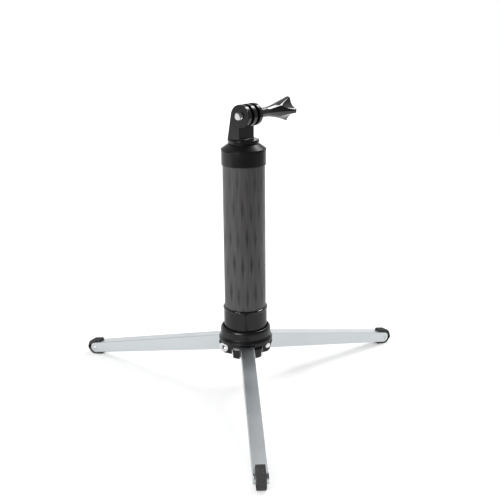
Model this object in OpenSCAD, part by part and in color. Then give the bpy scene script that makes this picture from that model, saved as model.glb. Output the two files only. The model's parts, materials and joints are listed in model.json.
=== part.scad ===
// Telescopic camera stick on a folding three-leg stand.
// The frame stands on the floor at z = 0, with the pole axis on z and leg 1 along -y.

/* [Legs] */
// Slope of an open leg below the horizontal
leg_slope = 11.8; // [8:0.1:16]
// Distance from a leg's pivot to its foot pin
leg_length = 120.7; // [95:0.1:150]
// Distance from the pole axis to a leg's pivot
pivot_offset = 12.2; // [11.6:0.1:14]
// Width of a leg across its two walls
leg_width = 9.2; // [8.4:0.1:10.5]
// Thickness of a leg's side walls
leg_wall = 1.6; // [1.2:0.1:2]
// Thickness of a leg's top web
leg_web = 1.5; // [1:0.1:2]
// Height of a leg's top above its pivot, at the root
leg_rise = 7.4; // [6.8:0.1:8]
// Radius of a leg's rounded ends
leg_end_r = 3.8; // [3.4:0.1:4.2]

/* [Feet] */
// Radius of a foot pad's nose
foot_r = 6; // [5.4:0.1:6.8]
// Distance from the foot pin out to the nose centre
foot_lead = 1.9; // [1:0.1:3]
// Distance from the foot pin back to the pad's inner end
foot_tail = 6.3; // [5:0.1:8]
// Depth of the standing flat cut off the nose
foot_flat = 0.2; // [0.1:0.05:0.5]
// Diameter of the foot pin
foot_pin_d = 2.7; // [2:0.1:3.4]

/* [Leg yoke] */
// Thickness of a lug
lug_thickness = 4.5; // [4:0.1:5.5]
// Depth of a lug below the pivot
lug_drop = 4.7; // [3.8:0.1:5.2]
// Height of a lug above the pivot
lug_rise = 4.6; // [4.2:0.1:5.6]
// How far the lugs' tips stand out from the bell's skirt, at their tops
yoke_proud = 0.2; // [-0.4:0.05:0.6]
// How much less the turned radius is at the foot of the lugs
lug_draft = 1.6; // [0.4:0.1:2]
// Radius of the lugs' lower outer edge
lug_corner_r = 3; // [1:0.1:3.6]

/* [Leg pivots] */
// Diameter of the pivot screw's shank
pivot_d = 4; // [3:0.1:4.4]
// Diameter of the pivot screw's head
pivot_head_d = 7; // [6:0.1:7.2]
// Height of the pivot screw's head
pivot_head_h = 1.2; // [0.8:0.1:1.6]
// Width across the flats of the pivot screw's socket
pivot_socket_w = 2.5; // [2:0.1:3]
// How far the pivot screw's end stands out of its lug
thread_proud = 0.8; // [0:0.1:1.2]
// Thickness of a pivot washer
washer_thickness = 0.35; // [0.2:0.05:0.8]
// Diameter of a pivot washer
washer_d = 7.4; // [6.4:0.1:7.6]

/* [Hub bell] */
// Largest diameter of the bell's skirt
skirt_d = 37.6; // [36.5:0.1:40]
// Height of the skirt below the flare
skirt_h = 2.7; // [2.2:0.1:3.5]
// Height of the flare between skirt and neck
flare_h = 3.1; // [2.4:0.1:4.5]
// Wall of the bell's neck around its bowl
neck_wall = 1.64; // [1.4:0.02:2.4]
// Thickness of the bell's floor above the leg notches
bell_floor = 2.9; // [2:0.1:4]
// Depth of the bowl that holds the ferrule
bowl_depth = 5.1; // [4:0.1:7]

/* [Base bolt] */
// Diameter of the base bolt's thread
bolt_d = 6.35; // [5:0.05:6.5]
// Diameter of the base bolt's head
bolt_head_d = 9.5; // [8.5:0.1:10]
// Height of the base bolt's head
bolt_head_h = 5; // [3:0.1:5.5]

/* [Handle] */
// Outer diameter of the handle tube
tube_d = 28.6; // [27.5:0.1:29.5]
// Wall of the handle tube
tube_wall = 1.5; // [1:0.1:1.8]
// Length of handle tube seen between ferrule and collar
tube_seen = 99.6; // [90:0.1:140]
// Wall of the ferrule around the tube
sleeve_wall = 0.7; // [0.5:0.05:0.9]
// Height of the ferrule above its floor
ferrule_h = 13.5; // [10:0.1:18]
// Thickness of the ferrule's floor
ferrule_floor = 6; // [4:0.1:8]
// Height of the ferrule's raised rim
rim_h = 2.6; // [2:0.1:4]
// How far the rim stands out from the ferrule
rim_proud = 0.5; // [0.2:0.05:0.9]
// Wall of the collar around the tube
collar_wall = 0.65; // [0.4:0.05:0.9]
// Height of the collar
collar_h = 9.9; // [8:0.1:14]

/* [Lock] */
// How far the lock nut's lip stands out from the collar
nut_lip_proud = 0.2; // [0.1:0.01:0.8]
// Height of the lock nut's lip
nut_lip_h = 0.8; // [0.5:0.1:1.5]
// Height of the lock nut's cone
nut_cone_h = 3.2; // [2:0.1:5]
// Wall of the lock nut at the top of its cone
nut_top_wall = 0.84; // [0.6:0.02:1.8]
// Length of the lock nut's threaded spigot
spigot_h = 8; // [6:0.1:10]
// Width of the slit in the collet
collet_slit = 1.5; // [1:0.1:3]

/* [Pole] */
// Room between the sliding tube and the handle tube's bore, for the lock
lock_room = 3.3; // [3:0.05:3.6]
// Wall of the sliding tube
pole_wall = 1; // [0.8:0.1:1.4]
// How far the sliding tube extends
pole_travel = 85; // [40:0.5:88]
// Length of the glide bush at the foot of the sliding tube
glide_h = 12; // [8:0.1:14]
// Length of the plug in the top of the sliding tube
plug_h = 16; // [12:0.1:24]

/* [Camera fork] */
// Direction of the clamp screw, turned from +x
fork_turn = 49; // [0:0.1:360]
// Height of the seam between lock nut and fork
fork_seam = 1; // [0.5:0.1:2]
// How far the fork's base disc stands out from the sliding tube
disc_proud = 1.1; // [0.7:0.05:2]
// Height of the fork's base disc
disc_h = 2; // [1.6:0.1:4]
// Height of the block between disc and slots
block_h = 8; // [6.5:0.1:10]
// Thickness of a prong
prong_w = 3.1; // [2.6:0.05:3.6]
// Width of a slot between prongs
slot_w = 3.2; // [3.1:0.05:3.6]
// Radius of a prong's round head
prong_r = 7.5; // [7:0.1:8]
// How far the clamp screw sits forward of the pole axis
prong_lead = 3.2; // [1:0.1:4]
// Distance from the pole axis to the block's front face
block_front = 2.9; // [1.5:0.1:5]
// Distance from the pole axis to the block's back edge
block_back = 7.4; // [5.5:0.1:7.6]
// Bevel between the block's front face and the disc
block_toe = 1; // [0.4:0.1:1.4]
// Cover in front of the head stud's hole in the block
stud_cover = 1; // [0.6:0.1:1.2]

/* [Clamp screw] */
// Diameter of the clamp screw
clamp_d = 5; // [4:0.1:5.4]
// How far the clamp screw's end stands out of the fork
clamp_proud = 2.6; // [1:0.1:4]
// Length of the thumb knob
knob_l = 37.5; // [28:0.1:45]
// Diameter of the knob's stem
knob_stem_d = 6.6; // [6.4:0.1:7.4]
// Length of the knob's straight stem
knob_stem_l = 12; // [8:0.1:18]
// Diameter of the knob's flared end
knob_d = 16.2; // [14:0.1:19]
// Depth of the knob's finger flutes
flute_depth = 3; // [1.5:0.1:3.4]
// How far the knob's lobes are turned at rest, from upright to the front
knob_turn = 10; // [0:1:90]

/* [Clearances] */
// Radial gap of a running fit
run_gap = 0.06; // [0.02:0.01:0.1]
// Radial gap of a glued, threaded or pressed joint
seat_gap = 0.03; // [0:0.01:0.05]
// Gap between faces that turn past each other
face_gap = 0.1; // [0.05:0.05:0.3]
// Gap between parts that clear each other
part_gap = 0.4; // [0.3:0.05:0.6]

/* [Hidden] */
$fn = 96;
// Longer than any cut needs to be
far = 60;
// How far a short cut runs past a face
over = 1;

// Legs and their pivots
leg_pitch = 120;
leg_angle_1 = -90;
leg_inside = leg_width - 2 * leg_wall;
pad_width = leg_inside - 2 * face_gap;
pad_inner_s = leg_length - foot_tail;
web_start_s = 1;
web_end_s = pad_inner_s - part_gap;
nose_s = leg_length + foot_lead;
pivot_z = nose_s * sin(leg_slope) + foot_r - foot_flat;

// Yoke: two lugs take each leg between washers
lug_in = leg_width / 2 + washer_thickness + 2 * face_gap;
lug_out = lug_in + lug_thickness;
yoke_r = skirt_d / 2 + yoke_proud;
lug_end = yoke_r + over;
slot_wall = pivot_offset - leg_end_r - 2 * part_gap;
yoke_z = pivot_z - lug_drop;
lug_top_z = pivot_z + lug_rise;
shelf_gap = 0.5;
bell_z = lug_top_z + shelf_gap;
boss_d = 2 * (slot_wall - part_gap);
thread_end_y = lug_out + thread_proud;
pivot_socket_depth = 2.2;

// Bell: its notches clear the root of every leg
notch_gap = 0.6;
notch_w = leg_width + 2 * part_gap;
notch_in = -2 * part_gap;
notch_top_z = pivot_z + (leg_rise + notch_gap) * cos(leg_slope) - notch_in * sin(leg_slope);
skirt_draft = 0.4;
bowl_z = notch_top_z + bell_floor;
bell_top_z = bowl_z + bowl_depth;
lip_w = 1.1;
lip_h = 2.4;

// Base bolt, with its head sunk in the yoke
bolt_seat_z = yoke_z + bolt_head_h + part_gap;
bolt_tip_gap = 0.6;
bolt_socket_w = 5;
bolt_socket_depth = 2.6;

// Handle, from the bell's bowl up to the lock nut
sleeve_r = tube_d / 2 + seat_gap + sleeve_wall;
bowl_r = sleeve_r + 2 * part_gap;
tube_z = bowl_z + ferrule_floor;
ferrule_top_z = tube_z + ferrule_h;
collar_z = ferrule_top_z + tube_seen;
collar_top_z = collar_z + collar_h;
tube_top_z = collar_top_z - part_gap;
tube_bore_r = tube_d / 2 - tube_wall;
sleeve_chamfer = 0.5;
collar_r = tube_d / 2 + seat_gap + collar_wall;
neck_r = bowl_r + neck_wall;

// Lock: the nut's spigot turns in the insert and closes the collet on the sliding tube
pole_r = tube_bore_r - lock_room;
collet_r = pole_r + run_gap;
collet_wall = 0.7;
collet_taper = 0.5;
nut_z = collar_top_z + face_gap;
nut_top_z = nut_z + nut_lip_h + nut_cone_h;
nut_lip_r = collar_r + nut_lip_proud;
nut_bore_r = collet_r + part_gap / 2;
nut_top_r = nut_bore_r + nut_top_wall;
spigot_wall = 0.9;
spigot_bore_r = collet_r + collet_wall + collet_taper + face_gap;
spigot_r = spigot_bore_r + spigot_wall;
spigot_z = nut_z - spigot_h;
ledge_z = spigot_z - part_gap;
collet_top_z = nut_z - face_gap;

// Sliding tube, stopped by the ferrule's floor below and by the insert above
pole_z = tube_z + part_gap;
pole_top_z = nut_top_z + fork_seam;
glide_top_z = pole_z + glide_h;
insert_z = glide_top_z + pole_travel + part_gap;
plug_z = pole_top_z - plug_h;
stud_r = block_front - stud_cover;
stud_inset = 2;
stud_reach = 5;
stud_tip_gap = 1.5;
stud_z = plug_z + stud_inset;
stud_top_z = pole_top_z + disc_h + stud_reach;

// Fork
disc_r = pole_r + disc_proud;
block_z = pole_top_z + disc_h;
slot_z = block_z + block_h;
fork_z = slot_z + prong_r + part_gap / 2;
fork_half = (3 * prong_w + 2 * slot_w) / 2;
prong_pitch = prong_w + slot_w;

// Thumb knob: a trumpet with four flutes
knob_z = fork_half + part_gap;
knob_end_z = knob_z + knob_l;
flare_z = knob_z + knob_stem_l;
flare_power = 1.35;
flare_steps = 10;
knob_edge = 0.6;
flute_count = 4;
flute_r = 8.75;
flute_axis_r = knob_d / 2 - flute_depth + flute_r;
clamp_hold = 14;

function leg_angle(i) = leg_angle_1 + leg_pitch * (i - 1);
// Point p turned about the pole axis
function turned(p, angle) = [p.x * cos(angle) - p.y * sin(angle), p.x * sin(angle) + p.y * cos(angle)];
// Height of a leg's top over its pivot line, at the distance s along it
function leg_top(s) = leg_rise + (leg_end_r - leg_rise) * s / leg_length;
// Radius of the knob at the height z along it
function knob_r(z) = knob_stem_d / 2
  + (knob_d - knob_stem_d) / 2 * pow((z - flare_z) / (knob_end_z - knob_edge - flare_z), flare_power);
// Half a cosine, from 0 to 1
function ease(t) = (1 - cos(180 * t)) / 2;

module ring(r_in, r_out, z_low, z_high) {
  translate([0, 0, z_low])
    difference() {
      cylinder(r = r_out, h = z_high - z_low);
      translate([0, 0, -over]) cylinder(r = r_in, h = z_high - z_low + 2 * over);
    }
}

module at_leg(i) {
  rotate([0, 0, leg_angle(i)]) children();
}

// Leg frame: x runs along the leg from its pivot, z is square to it
module in_leg(i) {
  at_leg(i) translate([pivot_offset, 0, pivot_z]) rotate([0, leg_slope, 0]) children();
}

// Upright slice of the x-z plane, centred on y
module slice_y(w) {
  rotate([90, 0, 0]) translate([0, 0, -w / 2]) linear_extrude(w) children();
}

// Rod along y between two places
module rod_y(d, y_low, y_high) {
  translate([0, y_high, 0]) rotate([90, 0, 0]) cylinder(d = d, h = y_high - y_low);
}

module leg_outline() {
  circle(r = leg_end_r);
  translate([leg_length, 0]) circle(r = leg_end_r);
  polygon([[0, -leg_end_r], [leg_length, -leg_end_r], [leg_length, leg_end_r], [0, leg_rise]]);
}

// Hollow of the channel: open below, at the root and at the foot
module leg_hollow() {
  polygon([[-far, -far], [leg_length + far, -far], [leg_length + far, far], [web_end_s, far],
    [web_end_s, leg_top(web_end_s) - leg_web], [web_start_s, leg_top(web_start_s) - leg_web],
    [web_start_s, far], [-far, far]]);
}

module leg(i) {
  color("silver")
    in_leg(i)
      difference() {
        slice_y(leg_width) leg_outline();
        slice_y(leg_inside) leg_hollow();
        rod_y(pivot_d + 2 * run_gap, -far, far);
        translate([leg_length, 0, 0]) rod_y(foot_pin_d + 2 * seat_gap, -far, far);
      }
}

module foot_pad(i) {
  color("dimgray")
    difference() {
      in_leg(i)
        difference() {
          slice_y(pad_width) {
            translate([nose_s, 0]) circle(r = foot_r);
            translate([pad_inner_s, -foot_r]) square([nose_s - pad_inner_s, 2 * foot_r]);
          }
          translate([leg_length, 0, 0]) rod_y(foot_pin_d + 2 * seat_gap, -far, far);
        }
      at_leg(i) translate([0, -far / 2, -far]) cube([leg_length + 2 * far, far, far]);
    }
}

module foot_pin(i) {
  color("gainsboro")
    in_leg(i) translate([leg_length, 0, 0]) rod_y(foot_pin_d, -leg_width / 2, leg_width / 2);
}

// Plan of the yoke: each leg has a slot between its two lugs
module yoke_plan() {
  lug_points = [[lug_out / tan(leg_pitch / 2), -lug_out], [lug_end, -lug_out], [lug_end, -lug_in],
    [slot_wall, -lug_in], [slot_wall, lug_in], [lug_end, lug_in], [lug_end, lug_out]];
  polygon([for (i = [1:3]) for (p = lug_points) turned(p, leg_angle(i))]);
}

// What is turned away around the lugs' tips
module yoke_turning() {
  low_r = yoke_r - lug_draft;
  rotate_extrude()
    polygon(concat(
      [[far, yoke_z - over], [low_r - lug_corner_r, yoke_z - over]],
      [for (a = [90:-15:0])
        [low_r - lug_corner_r * (1 - cos(a)), yoke_z + lug_corner_r * (1 - sin(a))]],
      [[yoke_r, lug_top_z], [yoke_r, lug_top_z + over], [far, lug_top_z + over]]));
}

module leg_yoke() {
  color("#202022")
    difference() {
      union() {
        translate([0, 0, yoke_z]) linear_extrude(lug_drop + lug_rise) yoke_plan();
        translate([0, 0, pivot_z]) cylinder(d = boss_d, h = bell_z - pivot_z);
      }
      for (i = [1:3])
        at_leg(i) translate([pivot_offset, 0, pivot_z])
          rod_y(pivot_d + 2 * seat_gap, -lug_out - over, lug_out + over);
      yoke_turning();
      translate([0, 0, -far]) cylinder(d = bolt_d + 2 * seat_gap, h = 3 * far);
      translate([0, 0, bolt_seat_z - far]) cylinder(d = bolt_head_d + 2 * face_gap, h = far);
    }
}

module pivot_screw(i) {
  color("silver")
    at_leg(i) translate([pivot_offset, 0, pivot_z])
      difference() {
        union() {
          rod_y(pivot_d, -thread_end_y, lug_out);
          rod_y(pivot_head_d, lug_out, lug_out + pivot_head_h);
        }
        translate([0, lug_out + pivot_head_h - pivot_socket_depth, 0]) rotate([-90, 30, 0])
          cylinder(d = pivot_socket_w / cos(30), h = far, $fn = 6);
      }
}

module pivot_washers(i) {
  color("whitesmoke")
    at_leg(i) translate([pivot_offset, 0, pivot_z])
      for (y = [lug_in - face_gap - washer_thickness, face_gap - lug_in])
        difference() {
          rod_y(washer_d, y, y + washer_thickness);
          rod_y(pivot_d + 2 * seat_gap, -far, far);
        }
}

// Half section of the bell, from the bore out to the skirt and back over the bowl
module bell_section() {
  skirt_r = skirt_d / 2;
  flare_z0 = bell_z + skirt_h;
  polygon(concat(
    [[bolt_d / 2 + seat_gap, bell_z], [skirt_r - skirt_draft, bell_z], [skirt_r, bell_z + skirt_h / 2]],
    [for (t = [0:0.125:1]) [skirt_r + (neck_r - skirt_r) * ease(t), flare_z0 + flare_h * t]],
    [[neck_r, bell_top_z - lip_h], [neck_r - lip_w, bell_top_z], [bowl_r, bell_top_z],
      [bowl_r, bowl_z], [bolt_d / 2 + seat_gap, bowl_z]]));
}

module hub_bell() {
  color("#1c1c1e")
    difference() {
      rotate_extrude() bell_section();
      for (i = [1:3])
        in_leg(i) translate([notch_in, -notch_w / 2, -far])
          cube([2 * far, notch_w, far + leg_rise + notch_gap]);
    }
}

module base_bolt() {
  color("silver")
    difference() {
      union() {
        translate([0, 0, bolt_seat_z]) cylinder(d = bolt_d, h = tube_z - bolt_tip_gap - bolt_seat_z);
        translate([0, 0, bolt_seat_z - bolt_head_h]) cylinder(d = bolt_head_d, h = bolt_head_h);
      }
      translate([0, 0, bolt_seat_z - bolt_head_h - far])
        cylinder(d = bolt_socket_w / cos(30), h = far + bolt_socket_depth, $fn = 6);
    }
}

// Cup glued on the tube's lower end, with a raised rim
module bottom_ferrule() {
  rim_r = sleeve_r + rim_proud;
  tube_hole_r = tube_d / 2 + seat_gap;
  bolt_hole_r = bolt_d / 2 + seat_gap;
  color("#3a3a3e")
    rotate_extrude()
      polygon([[bolt_hole_r, bowl_z], [sleeve_r - sleeve_chamfer, bowl_z],
        [sleeve_r, bowl_z + sleeve_chamfer], [sleeve_r, ferrule_top_z - rim_h],
        [rim_r, ferrule_top_z - rim_h / 2], [rim_r, ferrule_top_z - rim_h / 3],
        [tube_hole_r + sleeve_wall / 3, ferrule_top_z], [tube_hole_r, ferrule_top_z],
        [tube_hole_r, tube_z], [bolt_hole_r, tube_z]]);
}

module handle_tube() {
  color("#555452") ring(tube_bore_r, tube_d / 2, tube_z, tube_top_z);
}

module top_collar() {
  color("#1c1c1e") ring(tube_d / 2 + seat_gap, collar_r, collar_z, collar_top_z);
}

// Bush glued in the tube's top: thread for the lock nut above, stop for the glide below
module thread_insert() {
  bore_r = pole_r + part_gap;
  color("darkgray")
    rotate_extrude()
      polygon([[bore_r, insert_z], [tube_bore_r - seat_gap, insert_z], [tube_bore_r - seat_gap, tube_top_z],
        [spigot_r + run_gap, tube_top_z], [spigot_r + run_gap, ledge_z], [bore_r, ledge_z]]);
}

module collet() {
  base_r = collet_r + collet_wall + collet_taper;
  color("ivory")
    difference() {
      rotate_extrude()
        polygon([[collet_r, ledge_z], [base_r, ledge_z], [base_r, ledge_z + part_gap],
          [base_r - collet_taper, collet_top_z], [collet_r, collet_top_z]]);
      translate([0, -collet_slit / 2, 0]) cube([far, collet_slit, 4 * far]);
    }
}

module lock_nut() {
  lip_z = nut_z + nut_lip_h;
  color("#1c1c1e")
    rotate_extrude()
      polygon([[spigot_bore_r, spigot_z], [spigot_r, spigot_z], [spigot_r, nut_z], [nut_lip_r, nut_z],
        [nut_lip_r, lip_z], [nut_top_r, nut_top_z], [nut_bore_r, nut_top_z],
        [nut_bore_r, nut_z], [spigot_bore_r - collet_taper, nut_z]]);
}

module sliding_tube() {
  color("#303032") ring(pole_r - pole_wall, pole_r, pole_z, pole_top_z);
}

module glide_bush() {
  color("ivory") ring(pole_r + seat_gap, tube_bore_r - run_gap, pole_z, glide_top_z);
}

module head_plug() {
  color("darkgray") ring(stud_r + seat_gap, pole_r - pole_wall - seat_gap, plug_z, pole_top_z);
}

module head_stud() {
  color("silver") translate([0, 0, stud_z]) cylinder(r = stud_r, h = stud_top_z - stud_z);
}

// Fork frame: x along the clamp screw, -y to the front
module at_fork() {
  rotate([0, 0, fork_turn]) children();
}

// Upright slice of the y-z plane, centred on x
module slice_x(w) {
  translate([-w / 2, 0, 0]) rotate([90, 0, 90]) linear_extrude(w) children();
}

// Rod along x between two places
module rod_x(d, x_low, x_high) {
  translate([x_low, 0, 0]) rotate([0, 90, 0]) cylinder(d = d, h = x_high - x_low);
}

// Side view of the fork: a bevelled foot sunk in the disc, and a back edge that leans in to the head
module fork_outline() {
  head_y = -prong_lead;
  span_y = block_back - head_y;
  span_z = fork_z - block_z;
  lean = acos(prong_r / sqrt(span_y * span_y + span_z * span_z)) - atan2(span_z, span_y);
  touch_y = head_y + prong_r * cos(lean);
  touch_z = fork_z + prong_r * sin(lean);
  root_z = block_z - disc_h / 2;
  translate([head_y, fork_z]) circle(r = prong_r);
  polygon([[-block_front - block_toe, root_z], [block_back, root_z], [block_back, block_z],
    [touch_y, touch_z], [head_y, fork_z], [-block_front, slot_z], [-block_front, block_z + block_toe],
    [-block_front - block_toe, block_z]]);
}

module camera_fork() {
  color("#1c1c1e")
    difference() {
      union() {
        translate([0, 0, pole_top_z]) cylinder(r = disc_r, h = disc_h);
        at_fork() slice_x(2 * fork_half) fork_outline();
      }
      at_fork() {
        for (side = [-1, 1])
          translate([side * prong_pitch / 2 - slot_w / 2, -far / 2, slot_z]) cube([slot_w, far, far]);
        translate([0, -prong_lead, fork_z]) rod_x(clamp_d + 2 * run_gap, -far, far);
      }
      translate([0, 0, stud_top_z + stud_tip_gap - far]) cylinder(r = stud_r + seat_gap, h = far);
    }
}

module clamp_screw() {
  tip_x = -fork_half - clamp_proud;
  chamfer = 0.9;
  color("gainsboro")
    at_fork() translate([0, -prong_lead, fork_z]) {
      rod_x(clamp_d, tip_x + chamfer, knob_z + clamp_hold);
      translate([tip_x, 0, 0]) rotate([0, 90, 0])
        cylinder(d1 = clamp_d - 2 * chamfer, d2 = clamp_d, h = chamfer);
    }
}

module thumb_knob() {
  color("#161618")
    at_fork() translate([0, -prong_lead, fork_z]) rotate([0, 90, 0])
      difference() {
        rotate_extrude()
          polygon(concat(
            [[0, knob_z], [knob_stem_d / 2, knob_z]],
            [for (k = [0:flare_steps])
              let (z = flare_z + (knob_end_z - knob_edge - flare_z) * k / flare_steps) [knob_r(z), z]],
            [[knob_d / 2 - knob_edge, knob_end_z], [0, knob_end_z]]));
        for (k = [1:flute_count])
          rotate([0, 0, knob_turn + 360 / flute_count * (k - 0.5)])
            translate([flute_axis_r, 0, 0]) cylinder(r = flute_r, h = 2 * far);
        translate([0, 0, -far]) cylinder(d = clamp_d + 2 * seat_gap, h = far + knob_z + clamp_hold);
      }
}

leg_yoke();
hub_bell();
base_bolt();
bottom_ferrule();
handle_tube();
top_collar();
thread_insert();
collet();
lock_nut();
sliding_tube();
glide_bush();
head_plug();
head_stud();
camera_fork();
clamp_screw();
thumb_knob();
leg(1);  // leg_1
leg(2);  // leg_2
leg(3);  // leg_3
foot_pad(1);  // foot_pad_1
foot_pad(2);  // foot_pad_2
foot_pad(3);  // foot_pad_3
foot_pin(1);  // foot_pin_1
foot_pin(2);  // foot_pin_2
foot_pin(3);  // foot_pin_3
pivot_screw(1);  // pivot_screw_1
pivot_screw(2);  // pivot_screw_2
pivot_screw(3);  // pivot_screw_3
pivot_washers(1);  // pivot_washers_1
pivot_washers(2);  // pivot_washers_2
pivot_washers(3);  // pivot_washers_3
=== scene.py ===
import json
import math

import bmesh
import bpy
from bpy.props import FloatProperty, FloatVectorProperty, IntProperty, PointerProperty
from bpy.types import Operator, Panel, PropertyGroup
from mathutils import Matrix, Vector


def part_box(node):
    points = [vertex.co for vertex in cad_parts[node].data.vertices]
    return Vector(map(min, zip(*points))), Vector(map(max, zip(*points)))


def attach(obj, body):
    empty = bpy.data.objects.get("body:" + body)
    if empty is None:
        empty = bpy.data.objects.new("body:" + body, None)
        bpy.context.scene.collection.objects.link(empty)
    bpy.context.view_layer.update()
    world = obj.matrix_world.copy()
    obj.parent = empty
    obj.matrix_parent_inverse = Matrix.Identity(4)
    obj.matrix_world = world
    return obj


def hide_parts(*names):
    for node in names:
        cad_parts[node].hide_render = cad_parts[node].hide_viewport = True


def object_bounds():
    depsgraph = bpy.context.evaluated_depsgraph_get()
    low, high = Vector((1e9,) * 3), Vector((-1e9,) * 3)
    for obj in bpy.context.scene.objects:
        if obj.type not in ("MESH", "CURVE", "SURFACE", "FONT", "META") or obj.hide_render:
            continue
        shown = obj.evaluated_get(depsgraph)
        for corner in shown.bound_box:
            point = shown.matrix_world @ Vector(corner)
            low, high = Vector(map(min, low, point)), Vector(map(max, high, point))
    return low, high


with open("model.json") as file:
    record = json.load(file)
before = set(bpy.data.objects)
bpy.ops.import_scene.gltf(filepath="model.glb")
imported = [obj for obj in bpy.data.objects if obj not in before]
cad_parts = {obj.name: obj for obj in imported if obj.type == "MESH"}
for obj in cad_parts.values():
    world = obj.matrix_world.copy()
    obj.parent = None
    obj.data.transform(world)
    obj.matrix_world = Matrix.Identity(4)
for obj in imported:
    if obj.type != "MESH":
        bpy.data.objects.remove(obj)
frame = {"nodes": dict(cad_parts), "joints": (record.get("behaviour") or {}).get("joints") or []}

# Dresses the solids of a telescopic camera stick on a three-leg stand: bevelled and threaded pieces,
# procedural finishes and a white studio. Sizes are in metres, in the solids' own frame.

bl_info = {
    "name": "Camera Stick Dresser",
    "version": (1, 0, 0),
    "blender": (4, 5, 0),
    "location": "3D View > Sidebar > Stick",
    "description": "Dresses the solids of a telescopic camera stick with detailed pieces and finishes",
    "category": "Object",
}

MM = 0.001
CAD_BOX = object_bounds()
LEGS = (1, 2, 3)
JOINTS = {joint["name"]: joint for joint in frame["joints"]}
UP = Vector((0, 0, 1))
WHITE = (1.0, 1.0, 1.0, 1.0)

# Clearances that the solids are built with
RUN_GAP = 0.06 * MM
SEAT_GAP = 0.03 * MM
FACE_GAP = 0.1 * MM
PART_GAP = 0.4 * MM

# Mesh settings
ROUND_STEPS = 96
SMALL_STEPS = 48
KNOB_STEPS = 144
SHARP_ANGLE = math.radians(32)
CRISP_ANGLE = math.radians(24)
FLAT_ANGLE = math.radians(0.5)
MITRE_LIMIT = 0.3
TINY = 1e-7


# Places read from the solids

def low(node):
    """Lowest corner of a solid."""
    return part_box(node)[0]


def high(node):
    """Highest corner of a solid."""
    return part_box(node)[1]


def axes(x, y, z, place):
    """Matrix of a frame with these axes, standing at a place."""
    return Matrix.Translation(place) @ Matrix((x, y, z)).transposed().to_4x4()


def hinge_frame(i):
    """Level frame at a leg's pivot: x runs outwards, y along the hinge, z up."""
    joint = JOINTS[f"leg_{i}_fold"]
    across = Vector(joint["axis"])
    return axes(across.cross(UP), across, UP, Vector(joint["pos_m"]))


def leg_frame(i):
    """Frame of an open leg: x runs from its pivot to its foot pin, y along the hinge."""
    pivot = hinge_frame(i)
    pin = (low(f"foot_pin_{i}") + high(f"foot_pin_{i}")) / 2
    along = (pin - pivot.translation).normalized()
    across = pivot.col[1].to_3d()
    return axes(along, across, along.cross(across), pivot.translation)


def on_side(matrix):
    """The same frame laid on its side: an outline in x and y then stands in its x and z."""
    return matrix @ Matrix.Rotation(math.radians(90), 4, "X")


def along_y(matrix):
    """The same frame with its z turned to its y, for pieces turned about the hinge."""
    return matrix @ Matrix.Rotation(math.radians(-90), 4, "X")


CLAMP_AXIS = Vector(JOINTS["thumbscrew_turn"]["axis"]).normalized()
CLAMP_POINT = Vector(JOINTS["thumbscrew_turn"]["pos_m"])
CLAMP_CENTRE = CLAMP_POINT - CLAMP_AXIS * CLAMP_POINT.dot(CLAMP_AXIS)
FORK_BACK = UP.cross(CLAMP_AXIS)
CLAMP_FRAME = axes(UP, CLAMP_AXIS.cross(UP), CLAMP_AXIS, CLAMP_CENTRE)
# An outline in this frame runs to the fork's back in x and up in y, with its thickness along the clamp
FORK_FRAME = axes(FORK_BACK, UP, CLAMP_AXIS, Vector((0, 0, 0)))

LEG_LENGTH = ((low("foot_pin_1") + high("foot_pin_1")) / 2 - hinge_frame(1).translation).length
LEG_WIDTH = high("foot_pin_1").x - low("foot_pin_1").x
PAD_WIDTH = high("foot_pad_1").x - low("foot_pad_1").x
PIN_R = (high("foot_pin_1").z - low("foot_pin_1").z) / 2
PIVOT_REACH = hinge_frame(1).translation.to_2d().length
PIVOT_Z = hinge_frame(1).translation.z
PIVOT_HEAD_R = (high("pivot_screw_1").z - low("pivot_screw_1").z) / 2
YOKE_Z = low("leg_yoke").z
YOKE_R = high("leg_yoke").x
BELL_Z = low("hub_bell").z
BELL_TOP_Z = high("hub_bell").z
BOWL_Z = low("bottom_ferrule").z
TUBE_R = high("handle_tube").x
TUBE_Z = low("handle_tube").z
TUBE_TOP_Z = high("handle_tube").z
RIM_TOP_Z = high("bottom_ferrule").z
RIM_R = high("bottom_ferrule").x
COLLAR_R = high("top_collar").x
COLLAR_Z = low("top_collar").z
COLLAR_TOP_Z = high("top_collar").z
POLE_R = high("sliding_tube").x
POLE_TOP_Z = high("sliding_tube").z

# Radii of the pivot screws' and the base bolt's shanks, as the solids have them
PIVOT_R = 2 * MM
BOLT_R = 3.175 * MM


# What a user would change

def length(name, description, default):
    """A size in metres."""
    return FloatProperty(name=name, description=description, default=default, unit="LENGTH", precision=5)


def angle(name, description, degrees):
    """An angle, kept in radians."""
    return FloatProperty(name=name, description=description, default=math.radians(degrees), unit="ROTATION")


def number(name, description, default, unit="NONE"):
    """A plain number, or one with a unit."""
    return FloatProperty(name=name, description=description, default=default, unit=unit)


def count(name, description, default):
    """A number of like things around or across a piece."""
    return IntProperty(name=name, description=description, default=default, min=3, max=60)


def spot(name, description, default):
    """A place in metres."""
    return FloatVectorProperty(name=name, description=description, default=default, subtype="XYZ",
                               unit="LENGTH")


def colour(name, description, default):
    """A linear colour."""
    return FloatVectorProperty(name=name, description=description, default=default, subtype="COLOR",
                               min=0.0, max=1.0)


class LegSizes(PropertyGroup):
    """Sizes of the folding legs."""
    wall: length("Wall", "Thickness of the side walls", 1.6 * MM)
    web: length("Web", "Thickness of the top web", 1.5 * MM)
    rise: length("Rise", "Height of the top above the pivot, at the root", 7.4 * MM)
    end_radius: length("End radius", "Radius of the rounded ends", 3.8 * MM)
    web_start: length("Web start", "Where the web starts, out from the pivot", 1 * MM)
    root_corner: length("Root corner", "Rounding of the root's upper corner", 1 * MM)
    rim: length("Rim", "Rounding of the outer edges", 0.55 * MM)


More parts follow.
